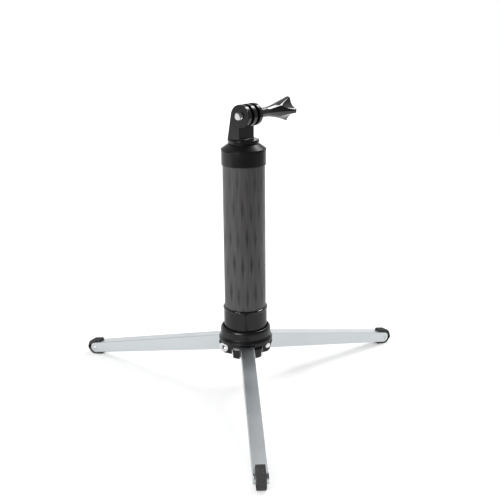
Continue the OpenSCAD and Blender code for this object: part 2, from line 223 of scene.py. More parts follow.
class FootSizes(PropertyGroup):
    """Sizes of the rubber feet and their rivets."""
    nose_radius: length("Nose radius", "Radius of a pad's nose", 6 * MM)
    lead: length("Lead", "Distance from the pin out to the nose centre", 1.9 * MM)
    tail: length("Tail", "Distance from the pin back to the pad's inner end", 4.7 * MM)
    corner: length("Corner", "Rounding of the pad's inner corners", 0.9 * MM)
    rim: length("Rim", "Rounding of the pad's side edges", 0.45 * MM)
    ribs: count("Ribs", "Tread ribs across a pad", 5)
    rib_depth: length("Rib depth", "Depth of the grooves between the ribs", 0.22 * MM)
    dimples: count("Dimples", "Stake marks in a rivet's end", 6)
    dimple_depth: length("Dimple depth", "Depth of the stake marks", 0.6 * MM)


class HubSizes(PropertyGroup):
    """Sizes of the yoke that carries the legs and of the bell over it."""
    lug_thickness: length("Lug thickness", "Thickness of a lug", 4.5 * MM)
    lug_rise: length("Lug rise", "Height of a lug above the pivot", 4.6 * MM)
    lug_draft: length("Lug draft", "How much less the turned radius is at the lugs' foot", 1.6 * MM)
    lug_corner: length("Lug corner", "Radius of the lugs' lower outer edge", 3 * MM)
    lug_edge: length("Lug edge", "Rounding of the lugs' edges", 0.3 * MM)
    lug_chamfer: length("Lug chamfer", "How far the lugs' upper outer edge draws in", 0.65 * MM)
    notch_gap: length("Notch gap", "Room in the bell's notch over a leg", 0.6 * MM)
    skirt_height: length("Skirt height", "Height of the skirt below the flare", 2.7 * MM)
    skirt_draft: length("Skirt draft", "How far the skirt draws in at its foot", 0.4 * MM)
    flare_height: length("Flare height", "Height of the flare between skirt and neck", 1.85 * MM)
    neck_wall: length("Neck wall", "Wall of the neck around the bowl", 1.64 * MM)
    lip_width: length("Lip width", "How far the bell's upper lip draws in", 1.1 * MM)
    lip_height: length("Lip height", "Height over which the upper lip draws in", 2.4 * MM)
    lip_edge: length("Lip edge", "Rounding of the upper lip's edge", 1.1 * MM)
    bell_edge: length("Bell edge", "Rounding of the bell's cut edges", 0.25 * MM)
    head_height: length("Head height", "Height of a pivot screw's head", 1.2 * MM)
    socket_width: length("Socket width", "Width across the flats of a pivot screw's socket", 2.5 * MM)
    socket_depth: length("Socket depth", "Depth of a pivot screw's socket", 2.2 * MM)
    bolt_head_height: length("Bolt head", "Height of the base bolt's head", 5 * MM)
    bolt_socket_width: length("Bolt socket", "Width across the flats of the base bolt's socket", 5 * MM)
    bolt_socket_depth: length("Bolt socket depth", "Depth of the base bolt's socket", 2.6 * MM)
    pivot_pitch: length("Pivot pitch", "Pitch of a pivot screw's thread", 0.7 * MM)
    pivot_thread: length("Pivot thread", "Length of a pivot screw's thread", 4 * MM)
    bolt_pitch: length("Bolt pitch", "Pitch of the base bolt's thread", 1.27 * MM)
    bolt_thread: length("Bolt thread", "Length of the base bolt's thread", 8 * MM)


class HandleSizes(PropertyGroup):
    """Sizes of the handle tube, its sleeves and its pattern."""
    sleeve_wall: length("Sleeve wall", "Wall of the ferrule around the tube", 0.7 * MM)
    rim_height: length("Rim height", "Height of the ferrule's raised rim", 2.6 * MM)
    rim_fillet: length("Rim fillet", "Rounding between the ferrule's sleeve and its rim", 2 * MM)
    bead_height: length("Bead height", "Height of the polished bead on the rim", 0.85 * MM)
    sleeve_edge: length("Sleeve edge", "Rounding of the sleeves' edges", 0.35 * MM)
    tube_wall: length("Tube wall", "Wall of the handle tube", 1.5 * MM)
    flakes_around: count("Flakes around", "Lozenges around the tube", 15)
    flake_row: length("Flake row", "Height of a row of lozenges", 19.2 * MM)
    flake_start: length("Flake start", "Height at which the rows of lozenges start", 16.3 * MM)
    flake_shift: number("Flake shift", "Share of a step that the lozenges are turned by", 0.13)
    flake_length: length("Flake length", "Length of a lozenge", 22 * MM)
    flake_width: number("Flake width", "Width of a lozenge, as a share of its step", 0.476)
    flake_sway: number("Flake sway", "How far lozenges stray along the tube, in pairs of rows", 0.14)
    flake_foot: number("Flakes at the foot", "Strength of the lozenges at the tube's foot", 1.1)
    flake_top: number("Flakes at the top", "Strength of the lozenges under the collar", 0.48)
    fibres_around: number("Fibres around", "Fibres around the tube", 260.0)
    fibres_along: number("Fibres along", "Fibres along each metre of the tube", 60.0)
    lip_height: length("Lip height", "Height of the lock nut's lip", 0.8 * MM)
    top_wall: length("Top wall", "Wall of the lock nut at the top of its cone", 0.84 * MM)
    spigot_wall: length("Spigot wall", "Wall of the lock nut's spigot", 0.9 * MM)
    spigot_room: length("Spigot room", "Room for the collet inside the spigot", 1.3 * MM)
    spigot_edge: length("Spigot edge", "Inner step of the lock nut's spigot", 0.5 * MM)
    pole_wall: length("Pole wall", "Wall of the sliding tube", 1 * MM)


class ForkSizes(PropertyGroup):
    """Sizes of the camera fork."""
    prong: length("Prong", "Thickness of a prong", 3.1 * MM)
    slot: length("Slot", "Width of a slot between prongs", 3.2 * MM)
    head_radius: length("Head radius", "Radius of a prong's round head", 7.5 * MM)
    front: length("Front", "Distance from the pole axis to the block's front face", 2.9 * MM)
    back: length("Back", "Distance from the pole axis to the block's back edge", 7.4 * MM)
    toe: length("Toe", "Radius of the fillet between the block's front and the disc", 1 * MM)
    disc_height: length("Disc height", "Height of the base disc", 2 * MM)
    disc_proud: length("Disc overhang", "How far the base disc stands out from the pole", 1.1 * MM)
    edge: length("Edge", "Rounding of the fork's edges", 0.3 * MM)


class ThumbscrewSizes(PropertyGroup):
    """Sizes of the clamp screw and its knob."""
    screw_radius: length("Screw radius", "Radius of the clamp screw", 2.5 * MM)
    screw_proud: length("Screw end", "How far the screw's end stands out of the fork", 2.6 * MM)
    screw_chamfer: length("Screw chamfer", "Chamfer of the screw's end", 0.5 * MM)
    pitch: length("Pitch", "Pitch of the clamp screw's thread", 0.8 * MM)
    hold: length("Hold", "Length of the screw held in the knob", 14 * MM)
    knob_length: length("Knob length", "Length of the knob", 37.5 * MM)
    turn: angle("Turn", "How far the lobes are turned at rest, from upright to the front", 10)
    stem_radius: length("Stem radius", "Radius of the knob's stem", 3.3 * MM)
    stem_length: length("Stem length", "Length of the straight stem", 12 * MM)
    knob_radius: length("Knob radius", "Radius of the flared end", 8.4 * MM)
    flare_power: number("Flare power", "How late the flare opens", 1.5)
    flute_depth: length("Flute depth", "Depth of the finger flutes", 3 * MM)
    flute_radius: length("Flute radius", "Radius of the finger flutes", 8.75 * MM)
    lobe_edge: length("Lobe edge", "Rounding between lobes and flutes", 0.5 * MM)
    end_edge: length("End edge", "Rounding of the flared end", 0.6 * MM)


class Finishes(PropertyGroup):
    """Colours of the finishes."""
    carbon_field: colour("Carbon field", "Colour between the lozenges", (0.0515, 0.0482, 0.0488))
    carbon_flake: colour("Carbon flake", "Colour of the lozenges", (0.005, 0.0047, 0.0047))
    black: colour("Black", "Satin black anodising", (0.007, 0.007, 0.0076))
    gloss: colour("Gloss black", "Polished black", (0.006, 0.006, 0.007))
    grey: colour("Ferrule grey", "Satin dark grey anodising", (0.005, 0.005, 0.0065))
    silver: colour("Silver", "Satin silver anodising of the legs", (0.7, 0.74, 0.76))
    aluminium: colour("Aluminium", "Plain turned aluminium", (0.66, 0.66, 0.67))
    steel: colour("Steel", "Bright plated steel", (0.88, 0.88, 0.89))
    rubber: colour("Rubber", "Rubber of the feet", (0.038, 0.038, 0.04))
    nylon: colour("Nylon", "Natural nylon", (0.78, 0.76, 0.7))
    floor: colour("Floor", "Floor and backdrop", (0.9, 0.9, 0.9))


class StudioSettings(PropertyGroup):
    """Camera and light."""
    lens: number("Lens", "Focal length in millimetres", 57.2, "CAMERA")
    sensor: number("Sensor", "Width of the camera's sensor in millimetres", 36.0, "CAMERA")
    camera_place: spot("Camera", "Where the camera stands", (-0.0303, -0.5220, 0.2589))
    pitch: angle("Pitch", "How far the camera looks down", 16.78)
    yaw: angle("Yaw", "How far the camera looks to the right", 3.72)
    roll: angle("Roll", "How far the camera leans", -0.55)
    ambient: number("Ambient", "Light from all round", 0.52)
    room_front: number("Front", "Brightness of the room behind the camera", 0.1)
    room_right: number("Right", "Brightness of the room on the right", 0.5)
    room_above: number("Above", "Brightness of the room overhead, at the back", 0.6)
    left_place: spot("Left lamp", "Where the left lamp hangs", (-0.60, -0.67, 0.42))
    left_width: length("Left width", "Width of the left lamp", 500 * MM)
    left_height: length("Left height", "Height of the left lamp's face", 200 * MM)
    left_power: number("Left power", "Power of the left lamp", 5.6, "POWER")
    right_place: spot("Right lamp", "Where the right lamp hangs", (0.53, 0.39, 0.83))
    right_width: length("Right width", "Width of the right lamp", 500 * MM)
    right_height: length("Right height", "Height of the right lamp's face", 240 * MM)
    right_power: number("Right power", "Power of the right lamp", 4.5, "POWER")
    floor_front: length("Floor front", "How far the floor runs out in front of the stick", 300 * MM)
    floor_back: length("Floor back", "How far the floor runs back and to the left", 4.0)
    floor_right: length("Floor right", "How far the floor runs to the right", 600 * MM)
    floor_near: length("Floor near", "Where the floor starts to fade to white", 200 * MM)
    floor_far: length("Floor far", "Where the floor has faded to white", 1.2)
    floor_lift: number("Floor lift", "White added to the floor near the stick", 0.33)
    floor_white: number("Floor white", "White added to the floor far from the stick", 0.8)


# Outlines and sections

def arc(centre, radius, start, end, steps=24):
    """Points on a circle between two angles in degrees."""
    turns = [math.radians(start + (end - start) * k / steps) for k in range(steps + 1)]
    return [(centre[0] + radius * math.cos(t), centre[1] + radius * math.sin(t)) for t in turns]


def rounded(corners, steps=6):
    """Closed outline through corners (x, y, radius), each turned on its own radius."""
    outline = []
    for k, (x, y, radius) in enumerate(corners):
        here = Vector((x, y))
        if radius < TINY:
            outline.append((x, y))
            continue
        before = (Vector(corners[k - 1][:2]) - here).normalized()
        after = (Vector(corners[(k + 1) % len(corners)][:2]) - here).normalized()
        half = before.angle(after) / 2
        centre = here + (before + after).normalized() * radius / math.sin(half)
        spokes = [here + side * radius / math.tan(half) - centre for side in (before, after)]
        start, end = (math.atan2(spoke.y, spoke.x) for spoke in spokes)
        sweep = (end - start + math.pi) % (2 * math.pi) - math.pi
        outline += arc(centre, radius, math.degrees(start), math.degrees(start + sweep), steps)
    return outline


def sleeve(bore, radius, base, top, edge, bore_edge=0.0, steps=6):
    """Section of a sleeve between two heights, with its outer edges and its bore's edges rounded."""
    return rounded([(bore, base, bore_edge), (radius, base, edge), (radius, top, edge),
                    (bore, top, bore_edge)], steps)


def inset(outline, distance):
    """The outline drawn in by a distance, for one that runs counterclockwise."""
    moved = []
    for k, point in enumerate(outline):
        here = Vector(point)
        into = (here - Vector(outline[k - 1])).normalized()
        out = (Vector(outline[(k + 1) % len(outline)]) - here).normalized()
        square = (into + out).normalized()
        inward = Vector((-square.y, square.x))
        spread = max(inward.dot(Vector((-out.y, out.x))), MITRE_LIMIT)
        moved.append(here + inward * distance / spread)
    return moved


# Pieces in mesh code

def piece_from(name, bm, place):
    """Turns a mesh under construction into an object at a place."""
    bmesh.ops.remove_doubles(bm, verts=bm.verts[:], dist=TINY)
    bmesh.ops.recalc_face_normals(bm, faces=bm.faces[:])
    mesh = bpy.data.meshes.new(name)
    bm.to_mesh(mesh)
    bm.free()
    piece = bpy.data.objects.new(name, mesh)
    bpy.context.scene.collection.objects.link(piece)
    piece.matrix_world = place
    return piece


def join_rings(bm, first, second):
    """Faces between two rings of corners; a ring of one corner is a point on the axis."""
    for k in range(max(len(first), len(second))):
        corners = [first[k % len(first)], first[(k + 1) % len(first)],
                   second[(k + 1) % len(second)], second[k % len(second)]]
        corners = list(dict.fromkeys(corners))
        if len(corners) > 2:
            bm.faces.new(corners)


def add_turned(bm, rings, steps, closed):
    """Adds a turned shape. A ring is (radius, height), and its radius may be a function of the angle."""
    made = []
    for radius, height in rings:
        if not callable(radius) and radius < TINY:
            made.append([bm.verts.new((0, 0, height))])
            continue
        ring = []
        for k in range(steps):
            turn = 2 * math.pi * k / steps
            reach = radius(turn) if callable(radius) else radius
            ring.append(bm.verts.new((reach * math.cos(turn), reach * math.sin(turn), height)))
        made.append(ring)
    following = made[1:] + made[:1] if closed else made[1:]
    for first, second in zip(made, following):
        join_rings(bm, first, second)


def turned(name, rings, place=Matrix(), steps=ROUND_STEPS, closed=True):
    """A piece turned about z: a closed section, or one that starts and ends on the axis."""
    bm = bmesh.new()
    add_turned(bm, rings, steps, closed)
    return piece_from(name, bm, place)


def slab(name, outline, sections, place=Matrix()):
    """An outline in x and y, thickened along z through sections (height, inset)."""
    bm = bmesh.new()
    rings = [[bm.verts.new((x, y, height)) for x, y in inset(outline, draw)] for height, draw in sections]
    for first, second in zip(rings, rings[1:]):
        join_rings(bm, first, second)
    bm.faces.new(rings[0][::-1])
    bm.faces.new(rings[-1])
    return piece_from(name, bm, place)


def soft_sections(start, end, edge, steps=4):
    """Sections of a slab with round edges on both of its faces."""
    turns = [math.radians(90 * k / steps) for k in range(steps + 1)]
    fall = [(edge * (1 - math.sin(t)), edge * (1 - math.cos(t))) for t in turns]
    return [(start + rise, draw) for rise, draw in fall[::-1]] + [(end - rise, draw) for rise, draw in fall]


def plate(name, outline, start, end, place=Matrix()):
    """An outline thickened between two heights, with sharp edges."""
    return slab(name, outline, [(start, 0), (end, 0)], place)


def rod(name, radius, start, end, place=Matrix(), steps=SMALL_STEPS):
    """A plain round cutter."""
    return turned(name, [(0, start), (radius, start), (radius, end), (0, end)], place, steps, False)


def combine(piece, operation, others):
    """Cuts other shapes out of a piece or joins them to it, and uses them up."""
    for other in others:
        modifier = piece.modifiers.new(operation.lower(), "BOOLEAN")
        modifier.operation = operation
        modifier.solver = "EXACT"
        modifier.object = other
    bpy.context.view_layer.update()
    evaluated = piece.evaluated_get(bpy.context.evaluated_depsgraph_get())
    mesh = bpy.data.meshes.new_from_object(evaluated)
    if not mesh.polygons:
        raise RuntimeError(f"{piece.name}: nothing is left of it")
    plain = piece.data
    piece.modifiers.clear()
    piece.data = mesh
    bpy.data.meshes.remove(plain)
    # Corners that the cut left on top of each other become one again
    bm = bmesh.new()
    bm.from_mesh(mesh)
    bmesh.ops.remove_doubles(bm, verts=bm.verts[:], dist=TINY)
    bmesh.ops.dissolve_degenerate(bm, edges=bm.edges[:], dist=TINY)
    bm.to_mesh(mesh)
    bm.free()
    for other in others:
        bpy.data.meshes.remove(other.data)
    return piece


def cut(piece, *others):
    """Cuts other shapes out of a piece."""
    return combine(piece, "DIFFERENCE", others)


def soften(piece, width, steps=3, chosen=lambda middle: True):
    """Rounds a piece's sharp edges, or those whose middle is chosen."""
    bm = bmesh.new()
    bm.from_mesh(piece.data)
    bmesh.ops.remove_doubles(bm, verts=bm.verts[:], dist=TINY)
    bmesh.ops.dissolve_limit(bm, angle_limit=FLAT_ANGLE, verts=bm.verts[:], edges=bm.edges[:])
    sharp = [e for e in bm.edges if e.is_manifold and e.calc_face_angle() > SHARP_ANGLE
             and chosen((e.verts[0].co + e.verts[1].co) / 2)]
    bmesh.ops.bevel(bm, geom=sharp, offset=width, offset_type="OFFSET", segments=steps, profile=0.5,
                    affect="EDGES", clamp_overlap=True)
    bm.to_mesh(piece.data)
    bm.free()
    return piece


def dress(piece, body, slot, *nodes, look=None):
    """Gives a piece its slot's finish, or another look, and hands it to the body that carries it."""
    mesh = piece.data
    mesh.materials.clear()
    mesh.materials.append(finish(look or slot))
    mesh.shade_smooth()
    mesh.set_sharp_from_angle(angle=SHARP_ANGLE)
    # Flat faces stay flat to the light, up to their rounded edges
    weighted = piece.modifiers.new("flat_faces", "WEIGHTED_NORMAL")
    weighted.keep_sharp = True
    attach(piece, body)
    if nodes:
        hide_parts(*nodes)
    return piece


# Repeated forms

def thread(radius, pitch, start, end):
    """Rings of a screw thread between two heights, fading out over a turn at both ends."""
    per_turn = 6
    depth = pitch / 2
    steps = max(1, round((end - start) / pitch * per_turn))
    rings = []
    for k in range(steps + 1):
        height = start + (end - start) * k / steps
        fade = min(1, (height - start) / pitch, (end - height) / pitch)

        def reach(t, height=height, fade=fade):
            phase = (height / pitch - t / (2 * math.pi)) % 1
            return radius - depth * fade * (1 - abs(2 * phase - 1))

        rings.append((reach, height))
    return rings


def hexagon(width):
    """Reach of a hexagon with this width across its flats, at an angle."""
    return lambda t: width / 2 / math.cos(t % (math.pi / 3) - math.pi / 6)


def cap_screw_rings(shank, head, tip, seat, top, socket_width, socket_depth, pitch, threaded):
    """Rings of a cap screw with a hexagon socket, from its tip up to its head."""
    chamfer = 0.4 * MM
    edge = 0.3 * MM
    bevel = 0.15 * MM
    floor = top - socket_depth
    crown = arc((head - edge, top - edge), edge, 0, 90, 4)
    return ([(0, tip), (shank - chamfer, tip), (shank, tip + chamfer)]
            + thread(shank, pitch, tip + chamfer, tip + chamfer + threaded)
            + [(shank, seat), (head - bevel, seat), (head, seat + bevel)] + crown
            + [(hexagon(socket_width + 2 * bevel), top), (hexagon(socket_width), top - bevel),
               (hexagon(socket_width), floor), (0, floor)])


# Shader networks

# Where most values of a noise lie, and a narrower span, for patches with clear edges
NOISE_SPAN = (0.3, 0.7)
PATCH_SPAN = (0.35, 0.65)


class Net:
    """A node tree, with short calls that add and join its nodes."""

    def __init__(self, tree):
        self.tree = tree

    def feed(self, socket, value):
        """Sets a socket, or links it."""
        if isinstance(value, bpy.types.NodeSocket):
            self.tree.links.new(value, socket)
        else:
            socket.default_value = value

    def node(self, kind, inputs=None, **settings):
        """Adds a node with its settings and inputs."""
        node = self.tree.nodes.new(kind)
        for key, value in settings.items():
            setattr(node, key, value)
        for key, value in (inputs or {}).items():
            self.feed(node.inputs[key], value)
        return node

    def math(self, operation, *values):
        """Result of a sum."""
        node = self.node("ShaderNodeMath", operation=operation)
        for socket, value in zip(node.inputs, values):
            self.feed(socket, value)
        return node.outputs[0]

    def remap(self, value, start, end, to_start, to_end):
        """A value carried from one range to another, held inside it."""
        node = self.node("ShaderNodeMapRange", {"Value": value, "From Min": start, "From Max": end,
                                                "To Min": to_start, "To Max": to_end})
        return node.outputs["Result"]

    def mix(self, factor, first, second, blend="MIX"):
        """Two colours mixed."""
        node = self.node("ShaderNodeMix", data_type="RGBA", blend_type=blend)
        for index, value in ((0, factor), (6, first), (7, second)):
            self.feed(node.inputs[index], value)
        return node.outputs[2]

    def noise(self, vector, scale, detail):
        """Value of a noise."""
        node = self.node("ShaderNodeTexNoise", {"Vector": vector, "Scale": scale, "Detail": detail})
        return node.outputs["Fac"]

    def place(self):
        """Where the surface is, on its own piece."""
        return self.node("ShaderNodeTexCoord").outputs["Object"]

    def group(self, tree, **inputs):
        """Adds a shared effect with its own values."""
        node = self.node("ShaderNodeGroup", node_tree=tree)
        for key, value in inputs.items():
            self.feed(node.inputs[key.replace("_", " ").capitalize()], value)
        return node.outputs


def effect(name, inputs, outputs, build):
    """A shared effect with named inputs and outputs, built the first time that it is asked for."""
    known = bpy.data.node_groups.get(name)
    if known:
        return known
    tree = bpy.data.node_groups.new(name, "ShaderNodeTree")
    for label, default in inputs.items():
        kind = "NodeSocketVector" if isinstance(default, tuple) else "NodeSocketFloat"
        socket = tree.interface.new_socket(name=label, in_out="INPUT", socket_type=kind)
        socket.default_value = default
    for label in outputs:
        tree.interface.new_socket(name=label, in_out="OUTPUT", socket_type="NodeSocketFloat")
    net = Net(tree)
    wanted = tree.nodes.new("NodeGroupOutput").inputs
    for label, value in build(net, tree.nodes.new("NodeGroupInput").outputs).items():
        net.feed(wanted[label], value)
    return tree


def tone_and_height(net, pattern, contrast):
    """A pattern as a tone that swings about 1, and as a height."""
    swing = net.math("MULTIPLY", net.remap(pattern, *NOISE_SPAN, -1.0, 1.0), contrast)
    return {"Tone": net.math("ADD", swing, 1.0), "Height": pattern}


def fine_grain():
    """Even grain of a blasted, moulded or cast surface."""
    def build(net, given):
        grain = net.noise(net.place(), given["Scale"], detail=3.0)
        return tone_and_height(net, grain, given["Contrast"])

    return effect("Fine grain", {"Scale": 3000.0, "Contrast": 0.2}, ("Tone", "Height"), build)


def drawn_lines():
    """Long fine lines of a drawn or brushed surface, stretched as the density says."""
    def build(net, given):
        spread = net.node("ShaderNodeVectorMath", {0: net.place(), 1: given["Density"]},
                          operation="MULTIPLY")
        lines = net.noise(spread.outputs["Vector"], scale=1.0, detail=4.0)
        return tone_and_height(net, lines, given["Contrast"])

    inputs = {"Density": (40.0, 4000.0, 4000.0), "Contrast": 0.2}
    return effect("Drawn lines", inputs, ("Tone", "Height"), build)


def turned_lines():
    """Fine rings that a lathe leaves about a piece's z axis."""
    def build(net, given):
        split = net.node("ShaderNodeSeparateXYZ", {"Vector": net.place()}).outputs
        reach = net.math("SQRT", net.math("ADD", net.math("MULTIPLY", split["X"], split["X"]),
                                          net.math("MULTIPLY", split["Y"], split["Y"])))
        section = net.node("ShaderNodeCombineXYZ", {"X": reach, "Y": split["Z"]})
        lines = net.noise(section.outputs["Vector"], given["Density"], detail=3.0)
        return tone_and_height(net, lines, given["Contrast"])

    return effect("Turned lines", {"Density": 5000.0, "Contrast": 0.2}, ("Tone", "Height"), build)


def handling():
    """Broad soft patches where a surface has been touched."""
    def build(net, given):
        patches = net.noise(net.place(), given["Scale"], detail=4.0)
        return {"Roughness": net.remap(patches, *PATCH_SPAN, given["Least"], given["Most"])}

    return effect("Handling", {"Scale": 60.0, "Least": 0.3, "Most": 0.4}, ("Roughness",), build)


def opaque(rgb):
    """A colour with full alpha."""
    return (*rgb, 1.0)


def new_material(name):
    """A material with its network and its surface shader."""
    material = bpy.data.materials.new(name)
    material.use_nodes = True
    return material, Net(material.node_tree), material.node_tree.nodes["Principled BSDF"]


def tinted(net, rgb, tone):
    """A colour brightened and dimmed by a tone."""
    shade = net.node("ShaderNodeCombineColor", {"Red": tone, "Green": tone, "Blue": tone})
    return net.mix(1.0, opaque(rgb), shade.outputs["Color"], "MULTIPLY")


def bump(net, shader, height, depth):
    """Raises a surface by a height map, to a depth in metres."""
    node = net.node("ShaderNodeBump", {"Height": height, "Strength": 1.0, "Distance": depth})
    net.feed(shader.inputs["Normal"], node.outputs["Normal"])


def touched(net, shader, scale, least, most):
    """Gives a surface its roughness, uneven where it has been touched."""
    patches = net.group(handling(), scale=scale, least=least, most=most)
    net.feed(shader.inputs["Roughness"], patches["Roughness"])


def even(shader, values):
    """Sets what is the same all over a surface."""
    for label, value in values.items():
        shader.inputs[label].default_value = value


def lozenges(net, turn, height, sizes):
    """Mask of the weave's lozenges, in staggered rows around and along the tube."""
    around = float(sizes.flakes_around)
    reach = sizes.flake_length / (4 * sizes.flake_row)
    # A lozenge is full as far as its core, and the palest has this share of the darkest's colour
    core = 0.5
    palest = 0.6
    strength = net.remap(height, RIM_TOP_Z, COLLAR_Z, sizes.flake_foot, sizes.flake_top)
    mask = 0.0
    # The odd rows are shifted by half a step and reach in between the even ones
    for shift in (0.0, 0.5):
        climb = net.math("SUBTRACT", height, sizes.flake_start)
        rows = net.math("ADD", net.math("DIVIDE", climb, 2 * sizes.flake_row), shift)
        columns = net.math("ADD", net.math("MULTIPLY", turn, around), shift + sizes.flake_shift)
        # Each lozenge has its own place and depth of colour
        column = net.math("FLOORED_MODULO", net.math("FLOOR", columns), around)
        cell = net.node("ShaderNodeCombineXYZ", {"X": column, "Y": net.math("FLOOR", rows), "Z": shift})
        chance = net.node("ShaderNodeTexWhiteNoise", {"Vector": cell.outputs["Vector"]}).outputs["Value"]
        sway = net.math("MULTIPLY", net.math("SUBTRACT", chance, 0.5), sizes.flake_sway)
        across = net.math("ABSOLUTE", net.math("SUBTRACT", net.math("FRACT", columns), 0.5))
        along = net.math("SUBTRACT", net.math("SUBTRACT", net.math("FRACT", rows), 0.5), sway)
        edge = net.math("ADD", net.math("MULTIPLY", across, 2 / sizes.flake_width),
                        net.math("DIVIDE", net.math("ABSOLUTE", along), reach))
        inside = net.remap(edge, 1.0, core, 0.0, 1.0)
        depth = net.math("MULTIPLY", net.remap(chance, 0.0, 1.0, palest, 1.0), strength)
        mask = net.math("MAXIMUM", mask, net.math("MULTIPLY", inside, depth))
    return mask


def make_carbon(colours):
    """Woven carbon under a satin lacquer: staggered dark lozenges over long fibres."""
    sizes = bpy.context.scene.stick_handle
    material, net, shader = new_material("carbon_weave")
    split = net.node("ShaderNodeSeparateXYZ", {"Vector": net.place()}).outputs
    turn = net.math("DIVIDE", net.math("ARCTAN2", split["Y"], split["X"]), 2 * math.pi)
    polar = net.node("ShaderNodeCombineXYZ", {"X": net.math("MULTIPLY", turn, sizes.fibres_around),
                                              "Y": net.math("MULTIPLY", split["Z"], sizes.fibres_along)})
    # The tone swings from fibre to fibre, and in broad patches of about six fibres
    fine_swing = (0.72, 1.28)
    broad_swing = (0.85, 1.15)
    fibre = net.noise(polar.outputs["Vector"], scale=1.0, detail=5.0)
    broad = net.noise(polar.outputs["Vector"], scale=0.16, detail=2.0)
    tone = net.math("MULTIPLY", net.remap(fibre, *NOISE_SPAN, *fine_swing),
                    net.remap(broad, *NOISE_SPAN, *broad_swing))
    field = tinted(net, colours.carbon_field, tone)
    flakes = lozenges(net, turn, split["Z"], sizes)
    net.feed(shader.inputs["Base Color"], net.mix(flakes, field, opaque(colours.carbon_flake)))
    touched(net, shader, scale=70.0, least=0.34, most=0.46)
    even(shader, {"Coat Weight": 0.12, "Coat Roughness": 0.3})
    bump(net, shader, fibre, depth=0.02 * MM)
    return material


def make_black(colours, name="black_anodised", least=0.26, most=0.34, shine=0.34):
    """Satin black anodising over turned and blasted aluminium."""
    material, net, shader = new_material(name)
    lines = net.group(turned_lines(), density=4200.0, contrast=0.1)
    grain = net.group(fine_grain(), scale=5200.0, contrast=0.14)
    tone = net.math("MULTIPLY", lines["Tone"], grain["Tone"])
    net.feed(shader.inputs["Base Color"], tinted(net, colours.black, tone))
    touched(net, shader, scale=90.0, least=least, most=most)
    even(shader, {"Specular IOR Level": shine})
    bump(net, shader, grain["Height"], depth=0.008 * MM)
    return material


def make_matt_black(colours):
    """The same anodising, left matt."""
    return make_black(colours, "matt_black", least=0.3, most=0.36, shine=0.18)


def make_smooth_black(colours):
    """The same anodising, over a smoother surface."""
    return make_black(colours, "smooth_black", least=0.12, most=0.18, shine=0.42)


def make_gloss(colours):
    """Polished black."""
    material, net, shader = new_material("gloss_black")
    grain = net.group(fine_grain(), scale=900.0, contrast=0.12)
    net.feed(shader.inputs["Base Color"], tinted(net, colours.gloss, grain["Tone"]))
    touched(net, shader, scale=120.0, least=0.05, most=0.1)
    even(shader, {"Coat Weight": 0.3, "Coat Roughness": 0.05})
    bump(net, shader, grain["Height"], depth=0.006 * MM)
    return material


def make_grey(colours):
    """Satin dark grey anodising with the marks of the lathe."""
    material, net, shader = new_material("ferrule_grey")
    lines = net.group(turned_lines(), density=3600.0, contrast=0.16)
    grain = net.group(fine_grain(), scale=4200.0, contrast=0.12)
    tone = net.math("MULTIPLY", lines["Tone"], grain["Tone"])
    net.feed(shader.inputs["Base Color"], tinted(net, colours.grey, tone))
    touched(net, shader, scale=80.0, least=0.19, most=0.25)
    even(shader, {"Specular IOR Level": 0.4})
    bump(net, shader, lines["Height"], depth=0.012 * MM)
    return material


def make_silver(colours):
    """Satin silver anodising with fine lines drawn along the leg."""
    material, net, shader = new_material("silver_anodised")
    lines = net.group(drawn_lines(), density=(35.0, 5200.0, 5200.0), contrast=0.05)
    grain = net.group(fine_grain(), scale=4800.0, contrast=0.04)
    tone = net.math("MULTIPLY", lines["Tone"], grain["Tone"])
    net.feed(shader.inputs["Base Color"], tinted(net, colours.silver, tone))
    touched(net, shader, scale=45.0, least=0.3, most=0.37)
    even(shader, {"Metallic": 1.0})
    bump(net, shader, lines["Height"], depth=0.008 * MM)
    return material


def make_turned_metal(name, rgb, least, most):
    """Bare metal with the rings of the lathe."""
    material, net, shader = new_material(name)
    lines = net.group(turned_lines(), density=5200.0, contrast=0.08)
    net.feed(shader.inputs["Base Color"], tinted(net, rgb, lines["Tone"]))
    touched(net, shader, scale=200.0, least=least, most=most)
    even(shader, {"Metallic": 1.0})
    bump(net, shader, lines["Height"], depth=0.006 * MM)
    return material


def make_aluminium(colours):
    """Plain turned aluminium."""
    return make_turned_metal("bare_aluminium", colours.aluminium, least=0.28, most=0.4)


def make_steel(colours):
    """Bright plated steel."""
    return make_turned_metal("bright_steel", colours.steel, least=0.14, most=0.24)


def make_rubber(colours):
    """Matt rubber with a fine grain and a bloom of dust."""
    material, net, shader = new_material("foot_rubber")
    grain = net.group(fine_grain(), scale=3400.0, contrast=0.3)
    lines = net.group(drawn_lines(), density=(180.0, 900.0, 2600.0), contrast=0.22)
    tone = net.math("MULTIPLY", grain["Tone"], lines["Tone"])
    net.feed(shader.inputs["Base Color"], tinted(net, colours.rubber, tone))
    touched(net, shader, scale=300.0, least=0.6, most=0.8)
    bump(net, shader, grain["Height"], depth=0.06 * MM)
    return material


def make_nylon(colours):
    """Natural nylon."""
    material, net, shader = new_material("nylon")
    grain = net.group(fine_grain(), scale=2600.0, contrast=0.06)
    net.feed(shader.inputs["Base Color"], tinted(net, colours.nylon, grain["Tone"]))
    touched(net, shader, scale=150.0, least=0.4, most=0.52)
    bump(net, shader, grain["Height"], depth=0.02 * MM)
    return material


MAKERS = {
    "carbon": make_carbon,
    "black_anodised": make_black,
    "matt_black": make_matt_black,
    "smooth_black": make_smooth_black,
    "gloss_black": make_gloss,
    "ferrule_grey": make_grey,
    "silver_anodised": make_silver,
    "bare_aluminium": make_aluminium,
    "steel": make_steel,
    "rubber": make_rubber,
    "nylon": make_nylon,
}
made_finishes = {}


def finish(look):
    """The material of a slot or of a variant of one, made once."""
    if look not in made_finishes:
        made_finishes[look] = MAKERS[look](bpy.context.scene.stick_finishes)
    return made_finishes[look]


# Operators: the pieces from the floor up

